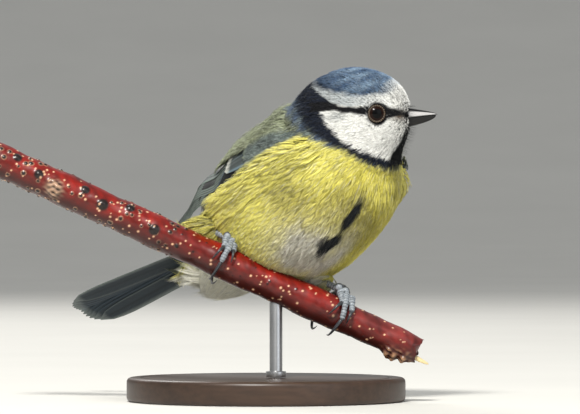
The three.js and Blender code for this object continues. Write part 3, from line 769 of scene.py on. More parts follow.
# %% Coat styles
def coat_style(points):
    """Length, width, rise, strand width and the body's roundness, for each root."""
    ahead, side, up = head_place(points)
    along, angle = body_place(points)
    t = np.clip((face_distance(points) - 10) / 12, 0, 1)
    length = 1.75 + 5.1 * t
    length = length + 4.5 * ramp(along, -2, -14) * ramp(angle, 76, 96)
    width = 0.8 + 1.1 * t
    rise = coat_depth(points) * 0.95
    rise = rise + 1.3 * ramp(along, 2, -8) * ramp(angle, 46, 30)
    bib = soft_step(-side, -4.5, 1.5) * (up < -2) * (up > -12) * (ahead > 5)
    length = length + 0.5 * bib
    rise = rise + 0.25 * bib
    rise = rise + 0.3 * soft_step(up, 4, 3) * (ahead > -4)
    nape = np.exp(-(((ahead + 15) / 5) ** 2) - ((up - 1) / 6) ** 2)
    length = length + 1.5 * nape
    rise = rise + 1.8 * nape
    strand_width = 0.15 + 0.03 * t
    bend = 10 + 9 * t + 50 * ramp(along, -6, -14) * ramp(angle, 100, 130)
    near_bill = np.linalg.norm(points - BILL_BASE, axis=-1)
    short = np.clip(0.5 + 0.5 * (near_bill - 3) / 5, 0.5, 1)
    short = short * np.clip(0.5 + 0.5 * (from_eye(points)[0] - 2.2) / 2.2, 0.5, 1)
    return length * short, width, rise, strand_width, bend


# %% Grow the coat
FACE_STRANDS, BODY_STRANDS = 8, 17
FACE_PIECES = ("coat_crown", "coat_face", "coat_cheek")
ahead, _, up = head_place(roots)
along, angle = body_place(roots)
on_head = (ahead > -12) & (up > -9)
REGIONS = {
    "coat_crown": on_head & (up > 2.4),
    "coat_face": on_head & (up <= 2.4) & (up > -3),
    "coat_cheek": on_head & (up <= -3),
    "coat_neck": ~on_head & (along > 16),
    "coat_back": ~on_head & (along <= 16) & (angle < 80),
    "coat_breast": ~on_head & (along <= 16) & (along > 4) & (angle >= 80),
    "coat_flank": ~on_head & (along <= 4) & (along > -8) & (angle >= 80),
    "coat_vent": ~on_head & (along <= -8) & (angle >= 80),
}
coat = []
for number, (name, chosen) in enumerate(REGIONS.items()):
    slot = "head_plumage" if name in FACE_PIECES else "body_plumage"
    strands = FACE_STRANDS if name in FACE_PIECES else BODY_STRANDS
    coat.append(settle(grow(name, roots[chosen], coat_style, strands, 20 + number), slot))

# %% [markdown]
# The wing of a perched bird is half hidden. Mantle feathers fall over its upper side, fine small
# coverts cloak its shoulder, and the flank's yellow feathers fold up over its lower edge. These
# grow in three bands on the wing's own guide surface, each over a range of angles round the body.

# %% Feathers over the wings
BAND_TRIES = 2600
BACKWARDS = unit(-BODY[0] + np.array([0, 0, -0.1]))


def on_guide(hand, along, angle, lift):
    """Points on the wing's guide surface by the body's chart."""
    turn = np.radians(angle)
    rays = np.cos(turn)[:, None] * BODY[2] + hand * np.sin(turn)[:, None] * BODY[1]
    axis = place(BODY_CENTRE, BODY, along, 0, 0)
    return axis + rays * (reach(wing_guide, axis, rays, 0) + lift)[:, None], rays


def back_along(points, normals):
    return in_surface(BACKWARDS + np.zeros(points.shape), normals)


def band(span, low_edge, high_edge, lift, room, seed):
    """Roots on both wings between two edges, each given as (along, angle) pairs."""
    rng = np.random.default_rng(seed)
    points = []
    for hand in HANDS.values():
        along = rng.uniform(*span, BAND_TRIES)
        share = rng.random(BAND_TRIES)
        low, high = along_line(low_edge, along), along_line(high_edge, along)
        points.append(on_guide(hand, along, low + (high - low) * share, lift)[0])
    points = np.concatenate(points)
    return spread_out(points, np.full(len(points), room))


def even_style(*measures):
    """The same length, width, rise, strand width and roundness for every root."""
    return lambda points: [measure * np.ones(len(points)) for measure in measures]


def flank_style(points):
    """Raised over the wing's lower edge, and level with the coat further down."""
    length, width, low, strand_width, bend = even_style(6.6, 1.9, 0.8, 0.18, 20)(points)
    return length, width, low + 1.5 * ramp(body_place(points)[1], 106, 89), strand_width, bend


MANTLE_EDGE = [(-12, 46), (-6, 53), (3, 61), (9, 61), (15, 65), (20, 71), (25, 75)]
MANTLE_INNER = [(-12, 24), (0, 28), (15, 30), (25, 44)]
COVERT_END = [(0, 60), (3, 76), (12, 80), (24, 80)]
FLANK_EDGE = [(-10, 90), (-2, 92), (6, 89), (12, 83), (24, 78)]
FLANK_FOOT = [(-10, 108), (-2, 110), (24, 102)]
mantle_roots = band((-11, 25), MANTLE_INNER, MANTLE_EDGE, 1.4, 1.05, 51)
covert_roots = band((5, 25), MANTLE_EDGE, COVERT_END, 1.5, 0.95, 52)
flank_roots = band((-9, 24), FLANK_EDGE, FLANK_FOOT, -0.6, 0.9, 53)
over_wings = [  # name, slot, roots, style, seed, colours
    ("coat_mantle", "body_plumage", mantle_roots, even_style(5.2, 2.6, 1.35, 0.19, 20), 54, None),
    ("coat_shoulder", "wing_plumage", covert_roots, even_style(3.8, 2.6, 1.1, 0.17, 20), 55,
     shoulder_colour),
    ("coat_side", "body_plumage", flank_roots, flank_style, 56, None),
]
for name, slot, band_roots, style, seed, colour in over_wings:
    tufts = grow(name, band_roots, style, BODY_STRANDS, seed, colour, back_along, wing_guide)
    coat.append(settle(tufts, slot))

# %% [markdown]
# Round the bill grow stiff hair-like feathers. They shade the nostrils, and on the black bib they
# make the ragged fringe that shows along the throat. Each root carries only three thin strands.

# %% Bristles
def forward_out(points, normals):
    return unit(HEAD[0] + normals * 0.7 + np.array([0, 0, -0.2]))


def bristle_colour(points):
    return np.broadcast_to(BIB * 1.3, points.shape)


ahead, side, up = head_place(roots)
chin = (ahead > 4) & (side < 3.4) & (up < -2.6) & (up > -13)
lore = (np.linalg.norm(roots - BILL_BASE, axis=-1) < 4) & (up > -3) & (up < 1.6)
bristles = [  # name, roots, length, strand width, seed
    ("bristles_chin", roots[chin], 2.4, 0.1, 57),
    ("bristles_lores", roots[lore], 1.5, 0.07, 58),
]
for name, at, length, strand_width, seed in bristles:
    style = even_style(length, 0.6, 1.1, strand_width, 9)
    stiff = grow(name, at, style, 3, seed, bristle_colour, forward_out)
    coat.append(settle(stiff, "head_plumage"))
print("coat of", sum(len(piece.data.polygons) for piece in coat), "faces")

# %% [markdown]
# A flight feather is a stiff blade on a shaft. Its barbs slope forwards from the shaft, the outer web
# is narrow and the inner one wide. Each vane here is a thin closed sheet, slightly domed, that runs
# over the body from a root to a tip in the wing's chart.

# %% A vane
VANE_ROWS, VANE_COLUMNS = 15, 9
VANE_THICKNESS = 0.11


def vane_outline(t, tip):
    """Half the width along a vane, as a share: quickly full, then rounded off to its tip."""
    start = np.clip(t / 0.16, 0, 1) ** 0.6
    end = np.sqrt(np.clip(1 - np.clip((t - 1 + tip) / tip, 0, 1) ** 2.2, 0, 1))
    return (0.22 + 0.78 * start) * np.maximum(end, 0.04)


def vane_points(centre, side, out, half, tip, dome):
    """Top and under points of a vane along a centre line, with the web a little domed."""
    t = np.linspace(0, 1, VANE_ROWS)
    u = np.linspace(-1, 1, VANE_COLUMNS)
    wide = (half * vane_outline(t, tip))[:, None] * u
    sag = wide**2 / (2 * dome)
    shaft = 0.1 * np.exp(-((u / 0.12) ** 2)) * (1 - 0.6 * t[:, None])
    thick = VANE_THICKNESS * (1 - 0.75 * np.abs(u)) * np.ones_like(wide)
    web = centre[:, None] + wide[..., None] * side[:, None]
    top = web + (thick / 2 + shaft - sag)[..., None] * out[:, None]
    low = web - (thick / 2 + sag)[..., None] * out[:, None]
    return np.concatenate([top.reshape(-1, 3), low.reshape(-1, 3)])


def vane_faces():
    """Quads over the top, under it, and round the rim, all facing outwards."""
    faces = []
    under = VANE_ROWS * VANE_COLUMNS
    grid = np.arange(under).reshape(VANE_ROWS, VANE_COLUMNS)
    for r in range(VANE_ROWS - 1):
        for c in range(VANE_COLUMNS - 1):
            quad = [grid[r, c], grid[r, c + 1], grid[r + 1, c + 1], grid[r + 1, c]]
            faces += [quad, [under + k for k in reversed(quad)]]
    rim = [*grid[:, 0], *grid[-1, 1:], *grid[-2::-1, -1], *grid[0, -2:0:-1]]
    for a, b in zip(rim, rim[1:] + rim[:1]):
        faces.append([a, b, under + b, under + a])
    return np.array(faces)


VANE_FACES = vane_faces()
vane_grid = np.meshgrid(np.linspace(-1, 1, VANE_COLUMNS), np.linspace(0, 1, VANE_ROWS))
VANE_U, VANE_T = (v.ravel() for v in vane_grid)
print(len(VANE_FACES), "faces on each vane")


# %% [markdown]
# All vanes of a wing or tail become one piece. Each keeps a map of its own web for the barbs, and a
# square of one shared sheet in its OFBake map.

# %% Joining vanes into a piece
def join_vanes(name, vanes, slot, *nodes):
    """Takes the points and the colours of each feather as a pair."""
    per = 2 * VANE_ROWS * VANE_COLUMNS
    points = np.concatenate([v[0] for v in vanes])
    faces = (VANE_FACES + per * np.arange(len(vanes))[:, None, None]).reshape(-1, 4)
    piece = write_piece(name, points, faces)
    paint(piece, np.clip(np.concatenate([v[1] for v in vanes]), 0, 1))
    web = np.tile(np.stack([VANE_U / 2 + 0.5, VANE_T], -1), (2 * len(vanes), 1))
    across = math.ceil(math.sqrt(2 * len(vanes)))
    cell = np.repeat(np.arange(2 * len(vanes)), VANE_ROWS * VANE_COLUMNS)
    corner = np.stack([cell % across, cell // across], -1)
    map_points(piece, "OFBake", (corner + 0.05 + 0.9 * web) / across)
    map_points(piece, "Web", web)
    return settle(piece, slot, *nodes)


def guided_vane(hand, root, tip, lifts, half, tip_share, roll):
    """A vane that follows the guide from its root to its tip, rolled to tuck under the next."""

    def guide_at(share):
        pairs = (root[0], tip[0]), (root[1], tip[1]), lifts
        return on_guide(hand, *(first + (last - first) * share for first, last in pairs))

    t = np.linspace(0, 1, VANE_ROWS)
    centre, rays = guide_at(t)
    along = unit(guide_at(np.minimum(t + 0.02, 1))[0] - guide_at(np.maximum(t - 0.02, 0))[0])
    side = unit(np.cross(along, rays)) * hand
    out = unit(np.cross(side, along)) * hand
    turn = np.radians(roll)
    side, out = side * np.cos(turn) + out * np.sin(turn), out * np.cos(turn) - side * np.sin(turn)
    return vane_points(centre, side, out, half, tip_share, 22)


# %% [markdown]
# The folded wing shows tiers of feathers. The long primaries lie lowest with their tips over the
# rump, then secondaries and tertials, and the coverts overlap their roots. The greater coverts are
# blue with white tips, which line up as the blue tit's single white wing bar.

# %% Wing feathers
WING_BLUE = srgb(98, 116, 126)
WING_GREY = srgb(66, 73, 73)
WING_DARK = srgb(20, 22, 22)
WING_EDGE = srgb(126, 138, 132)
COVERT_EDGE = srgb(146, 156, 134)
WING_WHITE = srgb(224, 225, 214)


def vane_colour(base, edge, tip, edge_width, tip_length, seed):
    """A web's colours: a dark inner web, a coloured outer edge, and a pale tip."""
    rng = np.random.default_rng(seed)
    u, t = np.tile(VANE_U, 2), np.tile(VANE_T, 2)
    colour = blend_to(base * rng.normal(1, 0.04), edge, soft_step(-u, 1 - edge_width, 0.25))
    colour = blend_to(colour, edge, 0.4 * soft_step(u, 0.9, 0.12))
    colour = blend_to(colour, tip, soft_step(t, 1 - tip_length, 0.6 * tip_length + 0.01))
    return colour * (1 - 0.3 * np.exp(-((u / 0.09) ** 2)))[:, None]


def tier(count, half, tip, lifts, roots, tips, look):
    """A row of feathers, evenly spaced from its first to its last root, tip and lift."""
    return dict(count=count, half=half, tip=tip, lifts=lifts, roots=roots, tips=tips, look=look)


LOOKS = {  # web, outer edge, tip, how much of the outer web the edge takes, how long the tip is
    "primary": (WING_DARK, WING_EDGE, WING_EDGE, 0.12, 0.02),
    "secondary": (WING_DARK, WING_EDGE, WING_EDGE, 0.16, 0.03),
    "tertial": (WING_GREY, WING_EDGE, WING_WHITE, 0.2, 0.04),
    "outer_covert": (WING_DARK, WING_BLUE, WING_BLUE, 0.25, 0.05),
    "greater_covert": (WING_GREY, WING_BLUE, WING_WHITE, 0.35, 0.07),
    "median_covert": (WING_GREY, COVERT, COVERT_EDGE, 0.5, 0.15),
}
TIERS = [
    tier(9, 2.4, 0.3, (0.75, 1.15), [(0, 79), (-6, 60)], [(-45, 58), (-32, 46)], "primary"),
    tier(8, 2.7, 0.22, (1.05, 1.4), [(4, 75), (0, 50)], [(-31, 50), (-27, 36)], "secondary"),
    tier(3, 3.4, 0.3, (1.5, 1.7), [(2, 54), (0, 42)], [(-26, 35), (-16, 27)], "tertial"),
    tier(6, 1.7, 0.4, (1.25, 1.4), [(12, 82), (10, 73)], [(-11, 75), (-8, 67)], "outer_covert"),
    tier(11, 2.2, 0.4, (1.65, 1.85), [(13, 76), (6, 38)], [(-7, 69), (-5, 30)], "greater_covert"),
    tier(10, 2, 0.5, (1.95, 2.1), [(16, 77), (11, 46)], [(1, 71), (2, 38)], "median_covert"),
]


def wing_vanes(hand):
    vanes = []
    for number, row in enumerate(TIERS):
        for i, share in enumerate(np.linspace(0, 1, row["count"])):
            root, tip, lift = (
                np.array(pair[0]) + share * (np.array(pair[1]) - np.array(pair[0]))
                for pair in (row["roots"], row["tips"], row["lifts"])
            )
            points = guided_vane(hand, root, tip, (lift - 0.5, lift), row["half"], row["tip"], 5)
            vanes.append((points, vane_colour(*LOOKS[row["look"]], 100 * number + i)))
    return vanes


for name, hand in HANDS.items():
    join_vanes(f"wing_feathers_{name}", wing_vanes(hand), "wing_plumage", f"wing_{name}")

# %% [markdown]
# The tail has twelve feathers, folded almost square. The middle pair lies on top and each pair
# outwards lies lower, so from below only the outermost ones show in full.

# %% Tail feathers
TAIL_LENGTH = 49
TAIL_FEATHERS = 12
TAIL_ROOT = place(BODY_CENTRE, BODY, -30, 0, 1.5)
TAIL_BLUE = srgb(72, 88, 104)
TAIL_DARK = srgb(30, 33, 31)
TAIL_EDGE = srgb(122, 130, 128)


def tail_vane(index):
    share = abs(index) / ((TAIL_FEATHERS - 1) / 2)
    length = TAIL_LENGTH - 0.8 * (1 - share) - 3.4 * share**3
    t = np.linspace(0, 1, VANE_ROWS)
    side = index * (0.42 + (0.95 - 0.42) * t)
    rise = -abs(index) * 0.2 - 0.6 * np.sin(np.pi * t / 2) ** 2
    centre = place(TAIL_ROOT, TAIL, -length * t, side, rise)
    tilt = np.radians(-4 * np.sign(index))
    across = TAIL[1] * np.cos(tilt) + TAIL[2] * np.sin(tilt)
    out = TAIL[2] * np.cos(tilt) - TAIL[1] * np.sin(tilt)
    rows = np.ones((VANE_ROWS, 1))
    outer = np.sign(index)
    return vane_points(centre, across * outer * -rows, out * rows, 2.8, 0.3, 30)


def tail_colour(index):
    edge = TAIL_EDGE if abs(index) > 5 else TAIL_BLUE
    base = blend_to(TAIL_DARK, TAIL_BLUE, np.array(0.25 if abs(index) > 1 else 0.8))
    return vane_colour(base, edge, TAIL_EDGE, 0.24, 0.02, 700 + int(2 * index))


tail_order = np.arange(TAIL_FEATHERS) - (TAIL_FEATHERS - 1) / 2
tail = [(tail_vane(i), tail_colour(i)) for i in tail_order]
join_vanes("tail_feathers", tail, "tail_plumage", "tail")

# %% [markdown]
# The eye of a blue tit is nearly black: a dark brown iris round a large pupil, under a clear wet
# cornea. Its ball is a sphere with its pole turned outwards, so the iris can be painted by the
# distance from that pole, and a narrow ring of bare lid closes round it.

# %% Eyes
IRIS = srgb(28, 14, 9)
PUPIL = srgb(4, 4, 5)
EYE_SEGMENTS = 64
LID_RADIUS = 1.94


def turn_to(direction):
    return Vector(direction).to_track_quat("Z", "Y").to_euler()


def make_eye(name, hand):
    facing = eye_facing(hand)
    eye = add_primitive(
        f"eyeball_{name}",
        bpy.ops.mesh.primitive_uv_sphere_add,
        segments=EYE_SEGMENTS,
        ring_count=EYE_SEGMENTS // 2,
        radius=EYE_RADIUS * MM,
        location=(EYE_CENTRES[name] * MM).tolist(),
        rotation=turn_to(facing),
    )
    points = points_of(eye)
    to_pole = unit(points - EYE_CENTRES[name]) @ facing
    off_axis = np.degrees(np.arccos(np.clip(to_pole, -1, 1)))
    fibres = 0.8 + 0.4 * np.random.default_rng(31).random(len(points))
    colour = blend_to(PUPIL, IRIS * fibres[:, None], soft_step(off_axis, 25, 4))
    paint(eye, blend_to(colour, PUPIL, soft_step(off_axis, 47, 8)))
    return settle(eye, "eye", f"eye_{name}")


eyes = [make_eye(name, hand) for name, hand in HANDS.items()]

# %% Lids
LID_DARK = srgb(16, 14, 13)
LID_BEAD = srgb(150, 120, 84)
BEADS = 26


def make_lid(name, hand):
    facing = eye_facing(hand)
    centre = EYE_CENTRES[name] + facing * math.sqrt(EYE_RADIUS**2 - LID_RADIUS**2)
    lid = add_primitive(
        f"eyelid_{name}",
        bpy.ops.mesh.primitive_torus_add,
        location=(centre * MM).tolist(),
        rotation=turn_to(facing),
        major_segments=192,
        minor_segments=20,
        major_radius=LID_RADIUS * MM,
        minor_radius=0.24 * MM,
    )
    points = points_of(lid)
    around = np.arctan2((points - centre) @ HEAD[2], (points - centre) @ HEAD[0])
    out = unit(points - EYE_CENTRES[name])
    bead = np.clip(np.cos(around * BEADS + 0.6 * np.sin(around * 5)), 0, 1)
    bead = bead * np.clip(out @ facing + 0.2, 0, 1)
    move_points(lid.data, points + 0.09 * bead[:, None] * out)
    paint(lid, blend_to(LID_DARK, LID_BEAD, 0.8 * bead**2 - 0.1))
    return settle(lid, "leg_skin")


lids = [make_lid(name, hand) for name, hand in HANDS.items()]

# %% [markdown]
# The bill is two horny halves that meet at the line of the mouth. Blue tits have a stubby cone of a
# bill, black along its ridge; the silvery sides of its upper half are a painted highlight. Each half
# starts as a sphere whose points are moved onto the bill's own curves: round above, flat where the
# halves meet, and pointed.

# %% Bill
BILL_ROOT = 10.4
BILL_RISE = -1.0
BILL_LENGTH = 10.2
BILL_HALF_WIDTH = 2.2
MOUTH_GAP = 0.12
HORN = srgb(16, 15, 16)
# painted highlight on the sides of the upper half
HORN_HIGHLIGHT = srgb(176, 174, 174)
MOUTH_DROP = 0.9  # how far the mouth line falls from the tip back to the face


def make_bill(name, upper):
    bill = add_primitive(
        name,
        bpy.ops.mesh.primitive_uv_sphere_add,
        segments=72,
        ring_count=56,
        radius=1,
        rotation=(0, math.pi / 2, 0),
    )
    unit_points = points_of(bill, 1)
    t = np.arccos(np.clip(-unit_points[:, 0], -1, 1)) / math.pi
    turn = np.arctan2(unit_points[:, 2], unit_points[:, 1])
    length = BILL_LENGTH if upper else BILL_LENGTH - 0.3
    depth = 2.25 * (1 - t) ** 0.65 if upper else 2.75 * (1 - t) ** 0.5
    width = BILL_HALF_WIDTH * (1 - t) ** 0.85
    root = np.clip(t / 0.03, 0, 1) ** 0.5
    rise = np.sin(turn) if upper else -np.sin(turn)
    ridge = 1 + 0.1 * np.clip(rise, 0, 1) ** 6
    high = np.where(rise > 0, rise * depth * ridge, rise * 0.1) * root
    across = np.cos(turn) * (width * (1 - 0.12 * np.clip(rise, 0, 1)) + 0.04) * root
    lip = np.exp(-((np.abs(rise) / 0.14) ** 2)) * 0.1 * (1 - t)
    across = across + np.sign(across) * lip
    high = high + MOUTH_GAP / 2 + 0.03 * root
    drop = MOUTH_DROP * (1 - t) ** 1.2
    high = high * (1 + 0.38 * (1 - t)) - drop if upper else high * (1 - 0.3 * (1 - t)) + drop
    rise_on_head = BILL_RISE + (high if upper else -high)
    points = place(HEAD_CENTRE, HEAD, BILL_ROOT + length * t, across, rise_on_head)
    if upper:
        for hand in (1, -1):
            pit = place(HEAD_CENTRE, HEAD, BILL_ROOT + 4.1, hand * 1.35, BILL_RISE + 1.05)
            near = np.linalg.norm((points - pit) * [0.7, 1, 1.2], axis=-1)
            points = points - 0.35 * np.exp(-((near / 0.32) ** 2))[:, None] * HEAD[1] * hand
    move_points(bill.data, points)
    if not upper:
        face_out(bill, open_ends=False)
    # Painted highlight: the sides of the upper half are painted pale silvery grey; the lower half
    # stays dark.
    pale = soft_step(-rise, -0.74, 0.12) * soft_step(rise, 0.12, 0.12)
    pale = pale * (0.95 if upper else 0.01) * soft_step(-t, -0.97, 0.1)
    paint(bill, blend_to(HORN, HORN_HIGHLIGHT, pale))
    return settle(bill, "bill", name.replace("horn", "bill"))


bill = [make_bill("horn_upper", True), make_bill("horn_lower", False)]

# %% [markdown]
# A perching bird's toes lock round its perch: three over the front and one round the back. Toes and
# shank are covered with small plates, which show as rings across the upper side. Each toe is a round
# bar along the stem's own curve whose radius swells and steps at every plate. The bars of a foot are
# joined and voxel remeshed into one skin without losing the plates.

# %% Bars of skin and horn
def turns(sides):
    """The angles of the sides round a bar."""
    return 2 * np.pi * np.arange(sides) / sides


def bar(name, line, radii, sides, flatten=1.0, out=None):
    """A closed round bar along a line of points, given the radius at every point and side."""
    along = unit(np.gradient(line, axis=0))
    out = np.broadcast_to(np.array([0.2, 1, 0.1]), line.shape) if out is None else out
    side = unit(np.cross(out, along))
    up = np.cross(along, side)
    turn = turns(sides)[None, :, None]
    ring = np.cos(turn) * side[:, None] * flatten + np.sin(turn) * up[:, None]
    points = (line[:, None] + ring * radii[..., None]).reshape(-1, 3)
    faces = []
    for r in range(len(line) - 1):
        for k in range(sides):
            a, b = r * sides + k, r * sides + (k + 1) % sides
            faces.append((a, b, b + sides, a + sides))
    piece = write_piece(name, points, np.array(faces))
    face_out(piece)
    return piece


# %% Toes and shanks
FEET = {  # each toe: (angle, x) where it leaves the foot, where it ends, and its claw's tip
    "right": {
        "inner": ((74, 1.3), (44, 1.9), (8, 2.5, 0.5)),
        "middle": ((74, 0.7), (0, 0.4), (-80, -0.6, 0.9)),
        "outer": ((74, -0.7), (42, -0.5), (-6, -1.9, 0.5)),
        "hind": ((98, 0), (196, -0.9), (282, 1.2, 0.6)),
    },
    "left": {
        "inner": ((74, 0.1), (38, 1.2), (-12, -0.6, 0.5)),
        "middle": ((74, 1.5), (-7, 2.7), (-82, 1.1, 1.6)),
        "outer": ((74, 2.9), (24, 4), (-14, 4.1, 0.5)),
        "hind": ((98, 0), (196, -3.7), (282, -1.7, 0.6)),
    },
}
KNUCKLE_RADIUS, TOE_RADIUS, JOINT_RADIUS = 0.92, 0.6, 0.7
SHANK_RADIUS = 0.8
SHANK_REACH = np.array([-8, 6, 3.5])  # from the palm up into the plumage
TOE_SIDES = 20
AIR = 0.3  # between the bark and the soles
PLATE = 0.74  # length of one plate


def toe_line(foot_x, toe, t):
    (angle, x), (last_angle, last_x), _ = toe
    ease = t * t * (3 - 2 * t)
    radius = KNUCKLE_RADIUS + (TOE_RADIUS - KNUCKLE_RADIUS) * ease
    radius = radius + (JOINT_RADIUS - TOE_RADIUS) * t**6
    where_x = foot_x + x + (last_x - x) * ease
    return around_stem(where_x, angle + (last_angle - angle) * t, AIR + 1.12 * radius), radius, where_x


def plate_phase(line):
    """How far along its plate each point is, from 0 at one groove to 1 at the next."""
    lengths = np.append(0, np.cumsum(np.linalg.norm(np.diff(line, axis=0), axis=-1)))
    return (lengths / PLATE) % 1, lengths


def plated(line, radius, sides):
    """Radii along a line whose plates step up to a groove on the outer side, over soft pads."""
    phase, lengths = plate_phase(line)
    turn = turns(sides)
    outer = np.clip(np.sin(turn) + 0.3, 0, 1) ** 0.5
    step = (0.2 * np.sin(np.pi * phase) ** 0.5 - 0.12)[:, None] * outer
    pads = 0.12 * np.sin(lengths / 1.9 * 2 * np.pi)[:, None] * np.clip(-np.sin(turn), 0, 1)
    return radius[:, None] * (1 + step + pads)


def make_toe(foot_x, toe):
    t = np.linspace(0, 1, 110)
    line, radius, x = toe_line(foot_x, toe, t)
    out = line - around_stem(x, 0, -stem_radius(x))
    radius = radius * (1 + 0.09 * np.cos(t * np.pi * 5)) * np.clip((1 - t) / 0.05, 0.5, 1) ** 0.5
    return bar("toe", line, plated(line, radius, TOE_SIDES), TOE_SIDES, 1, out)


def shank_line(foot_x, t):
    return around_stem(foot_x, 90, PALM_OUT) + SHANK_REACH * t[:, None]


def make_shank(foot_x):
    t = np.linspace(0, 1, 90)
    line = shank_line(foot_x, t)
    out = np.broadcast_to(np.array([0, -1.0, 0.4]), line.shape)
    radii = plated(line, SHANK_RADIUS * (1.1 - 0.2 * t), TOE_SIDES)
    return bar("shank", line, radii, TOE_SIDES, 1, out)


# %% Feet
def ball(name, centre, radii):
    return add_primitive(
        name,
        bpy.ops.mesh.primitive_uv_sphere_add,
        segments=40,
        ring_count=24,
        radius=MM,
        location=(centre * MM).tolist(),
        scale=radii,
    )


def make_palm(foot_x):
    """The knuckle where the toes meet: a low lump with a swelling over the root of each toe."""
    knobs = [(0.9, 76, 0.5, 1.0), (-0.8, 78, 0.6, 1.05), (0.1, 98, 0.5, 1.1), (1.3, 92, 0, 0.9)]
    balls = [
        ball("knob", around_stem(foot_x + x, angle, PALM_OUT + out), [radius] * 3)
        for x, angle, out, radius in knobs
    ]
    return [ball("palm", around_stem(foot_x, 86, PALM_OUT), [1.8, 1.35, 1.3])] + balls


FOOT_VOXEL = 0.085
FOOT_GREY = srgb(140, 147, 154)
FOOT_GROOVE = srgb(38, 40, 44)


def foot_colour(points, foot_x, toes):
    """Grey plates with dark grooves, by the nearest place on the toes' and shank's lines."""
    t = np.linspace(0, 1, 110)
    lines = [toe_line(foot_x, toe, t)[0] for toe in toes.values()] + [shank_line(foot_x, t)]
    phases = np.concatenate([plate_phase(line)[0] for line in lines])
    places = np.concatenate(lines)
    pale = np.zeros(len(points))
    for some in np.array_split(np.arange(len(points)), len(points) // 4000 + 1):
        near = np.square(points[some, None] - places).sum(-1).argmin(1)
        pale[some] = np.sin(np.pi * phases[near])
    # Painted shade: the foot is painted darker where it lies close to the bark.
    pale = np.clip(1.5 * pale + 0.15, 0, 1) * np.clip(0.35 + stem_gap(points)[0], 0.4, 1)
    return blend_to(FOOT_GROOVE, FOOT_GREY, pale)


def make_foot(name, foot_x):
    toes = FEET[name]
    parts = [make_toe(foot_x, toe) for toe in toes.values()]
    parts += [make_shank(foot_x)] + make_palm(foot_x)
    bpy.ops.object.select_all(action="DESELECT")
    for part in parts:
        part.select_set(True)
    bpy.context.view_layer.objects.active = parts[0]
    bpy.ops.object.join()
    foot = bpy.context.object
    foot.name = foot.data.name = f"foot_{name}"
    modify(foot, "REMESH", mode="VOXEL", voxel_size=FOOT_VOXEL * MM)
    modify(foot, "SMOOTH", factor=0.5, iterations=1)
    bpy.ops.object.shade_smooth()
    paint(foot, foot_colour(points_of(foot), foot_x, toes))
    return settle(foot, "leg_skin", f"leg_{name}")


feet = [make_foot(name, x) for name, x in FOOT_X.items()]

# %% [markdown]
# A bird's thigh is feathered down to the heel, so the bare shank comes out of a soft sleeve. Here
# the upper part of each shank wears a small lump of skin and a coat of loose tufts over it.

# %% Thigh feathers
THIGH_RADII = np.array([4.2, 2.4, 2.0])
THIGH_ON_SHANK = 0.76  # how far up the shank the thigh's middle is, as a share
THIGH_TRIES, THIGH_ROOM = 900, 0.85
THIGH_STRANDS = 12
THIGH_FLOW = unit(np.array([-0.5, -0.3, -0.25]) - BODY[0] * 0.4)


def thigh_colour(points):
    """The flank's or belly's colour, taken a little further forward on the body, with painted shade.
    """
    return body_colour(points + BODY[0] * 9) * 0.74


def thigh_flow(points, normals):
    return in_surface(THIGH_FLOW + np.zeros(points.shape), normals)


def make_thigh(name, foot_x):
    middle = shank_line(foot_x, np.array([THIGH_ON_SHANK]))[0]
    lump = ball(f"thigh_skin_{name}", middle, THIGH_RADII.tolist())
    points = points_of(lump)
    paint(lump, thigh_colour(points) * UNDER_SHADE)
    map_points(lump, "OFBake", unwrap(points))
    settle(lump, "body_plumage")

    def off_lump(points):
        return egg(points, middle, np.eye(3), THIGH_RADII)

    rng = np.random.default_rng(61)
    places = middle + unit(rng.normal(size=(THIGH_TRIES, 3))) * THIGH_RADII
    places = spread_out(places, np.full(len(places), THIGH_ROOM))
    places = places[stem_gap(places)[0] > 0.3]
    style = even_style(5.6, 1.8, 1.0, 0.18, 16)
    tufts = grow(f"coat_thigh_{name}", places, style, THIGH_STRANDS, 62,
                 colour=thigh_colour, flow=thigh_flow, layer=off_lump)
    coat.append(settle(tufts, "body_plumage"))
    return lump


thighs = [make_thigh(name, x) for name, x in FOOT_X.items()]

# %% [markdown]
# A claw is a curved horn that grows out of the last plate of a toe and tapers to a point. It is deeper
# than it is wide, so its bar is flattened sideways.

# %% Claws
CLAW_RADIUS = 0.56
CLAW_SIDES = 14


def make_claw(hand, toe_name, foot_x):
    _, (angle, x), (tip_angle, tip_x, tip_out) = FEET[hand][toe_name]
    t = np.linspace(0, 1, 40)
    arch = (1.3 if toe_name == "hind" else 0.8) * np.sin(np.pi * t)
    first_out = AIR + 1.1 * JOINT_RADIUS
    where_x = foot_x + x + (tip_x - x) * t
    height = first_out + (tip_out - first_out) * t + arch
    line = around_stem(where_x, angle + (tip_angle - angle) * t, height)
    out = line - around_stem(where_x, 0, -stem_radius(where_x))
    radius = CLAW_RADIUS * (1 - t) ** 0.75 * np.clip(t / 0.04, 0.6, 1) + 0.06
    radii = np.repeat(radius[:, None], CLAW_SIDES, 1)
    claw = bar(f"horn_{hand}_{toe_name}", line, radii, CLAW_SIDES, 0.8, out)
    return settle(claw, "claw", f"claw_{hand}_{toe_name}")


claws = [make_claw(hand, toe, x) for hand, x in FOOT_X.items() for toe in FEET[hand]]

# %% [markdown]
# The stem is a cut length of a red-barked shrub. Its bark is glossy and thin, scattered with cream
# pores and, on the older half, dark warts and one hairy bud scar. The broken end at the right has
# a torn collar and a splinter. A grid is rolled into a tube and every point is pushed out by the
# bumps it lies on, because real bumps catch the light at the outline and paint alone doesn't.

# %% Stem
STEM_ROWS, STEM_SIDES = 620, 108
WARTS = [  # x, angle round the stem, size
    (-50, 40, 1), (-44, 15, 1), (-33, 34, 1), (-28, 10, 1.2),
    (-22, 42, 1), (-15, 5, 1.1), (-42, 190, 1), (-18, 170, 1),
]
BUD_SCAR = (-39.5, -8)
TORN = [(45.5, -62, 2.3), (48.6, -50, 2)]


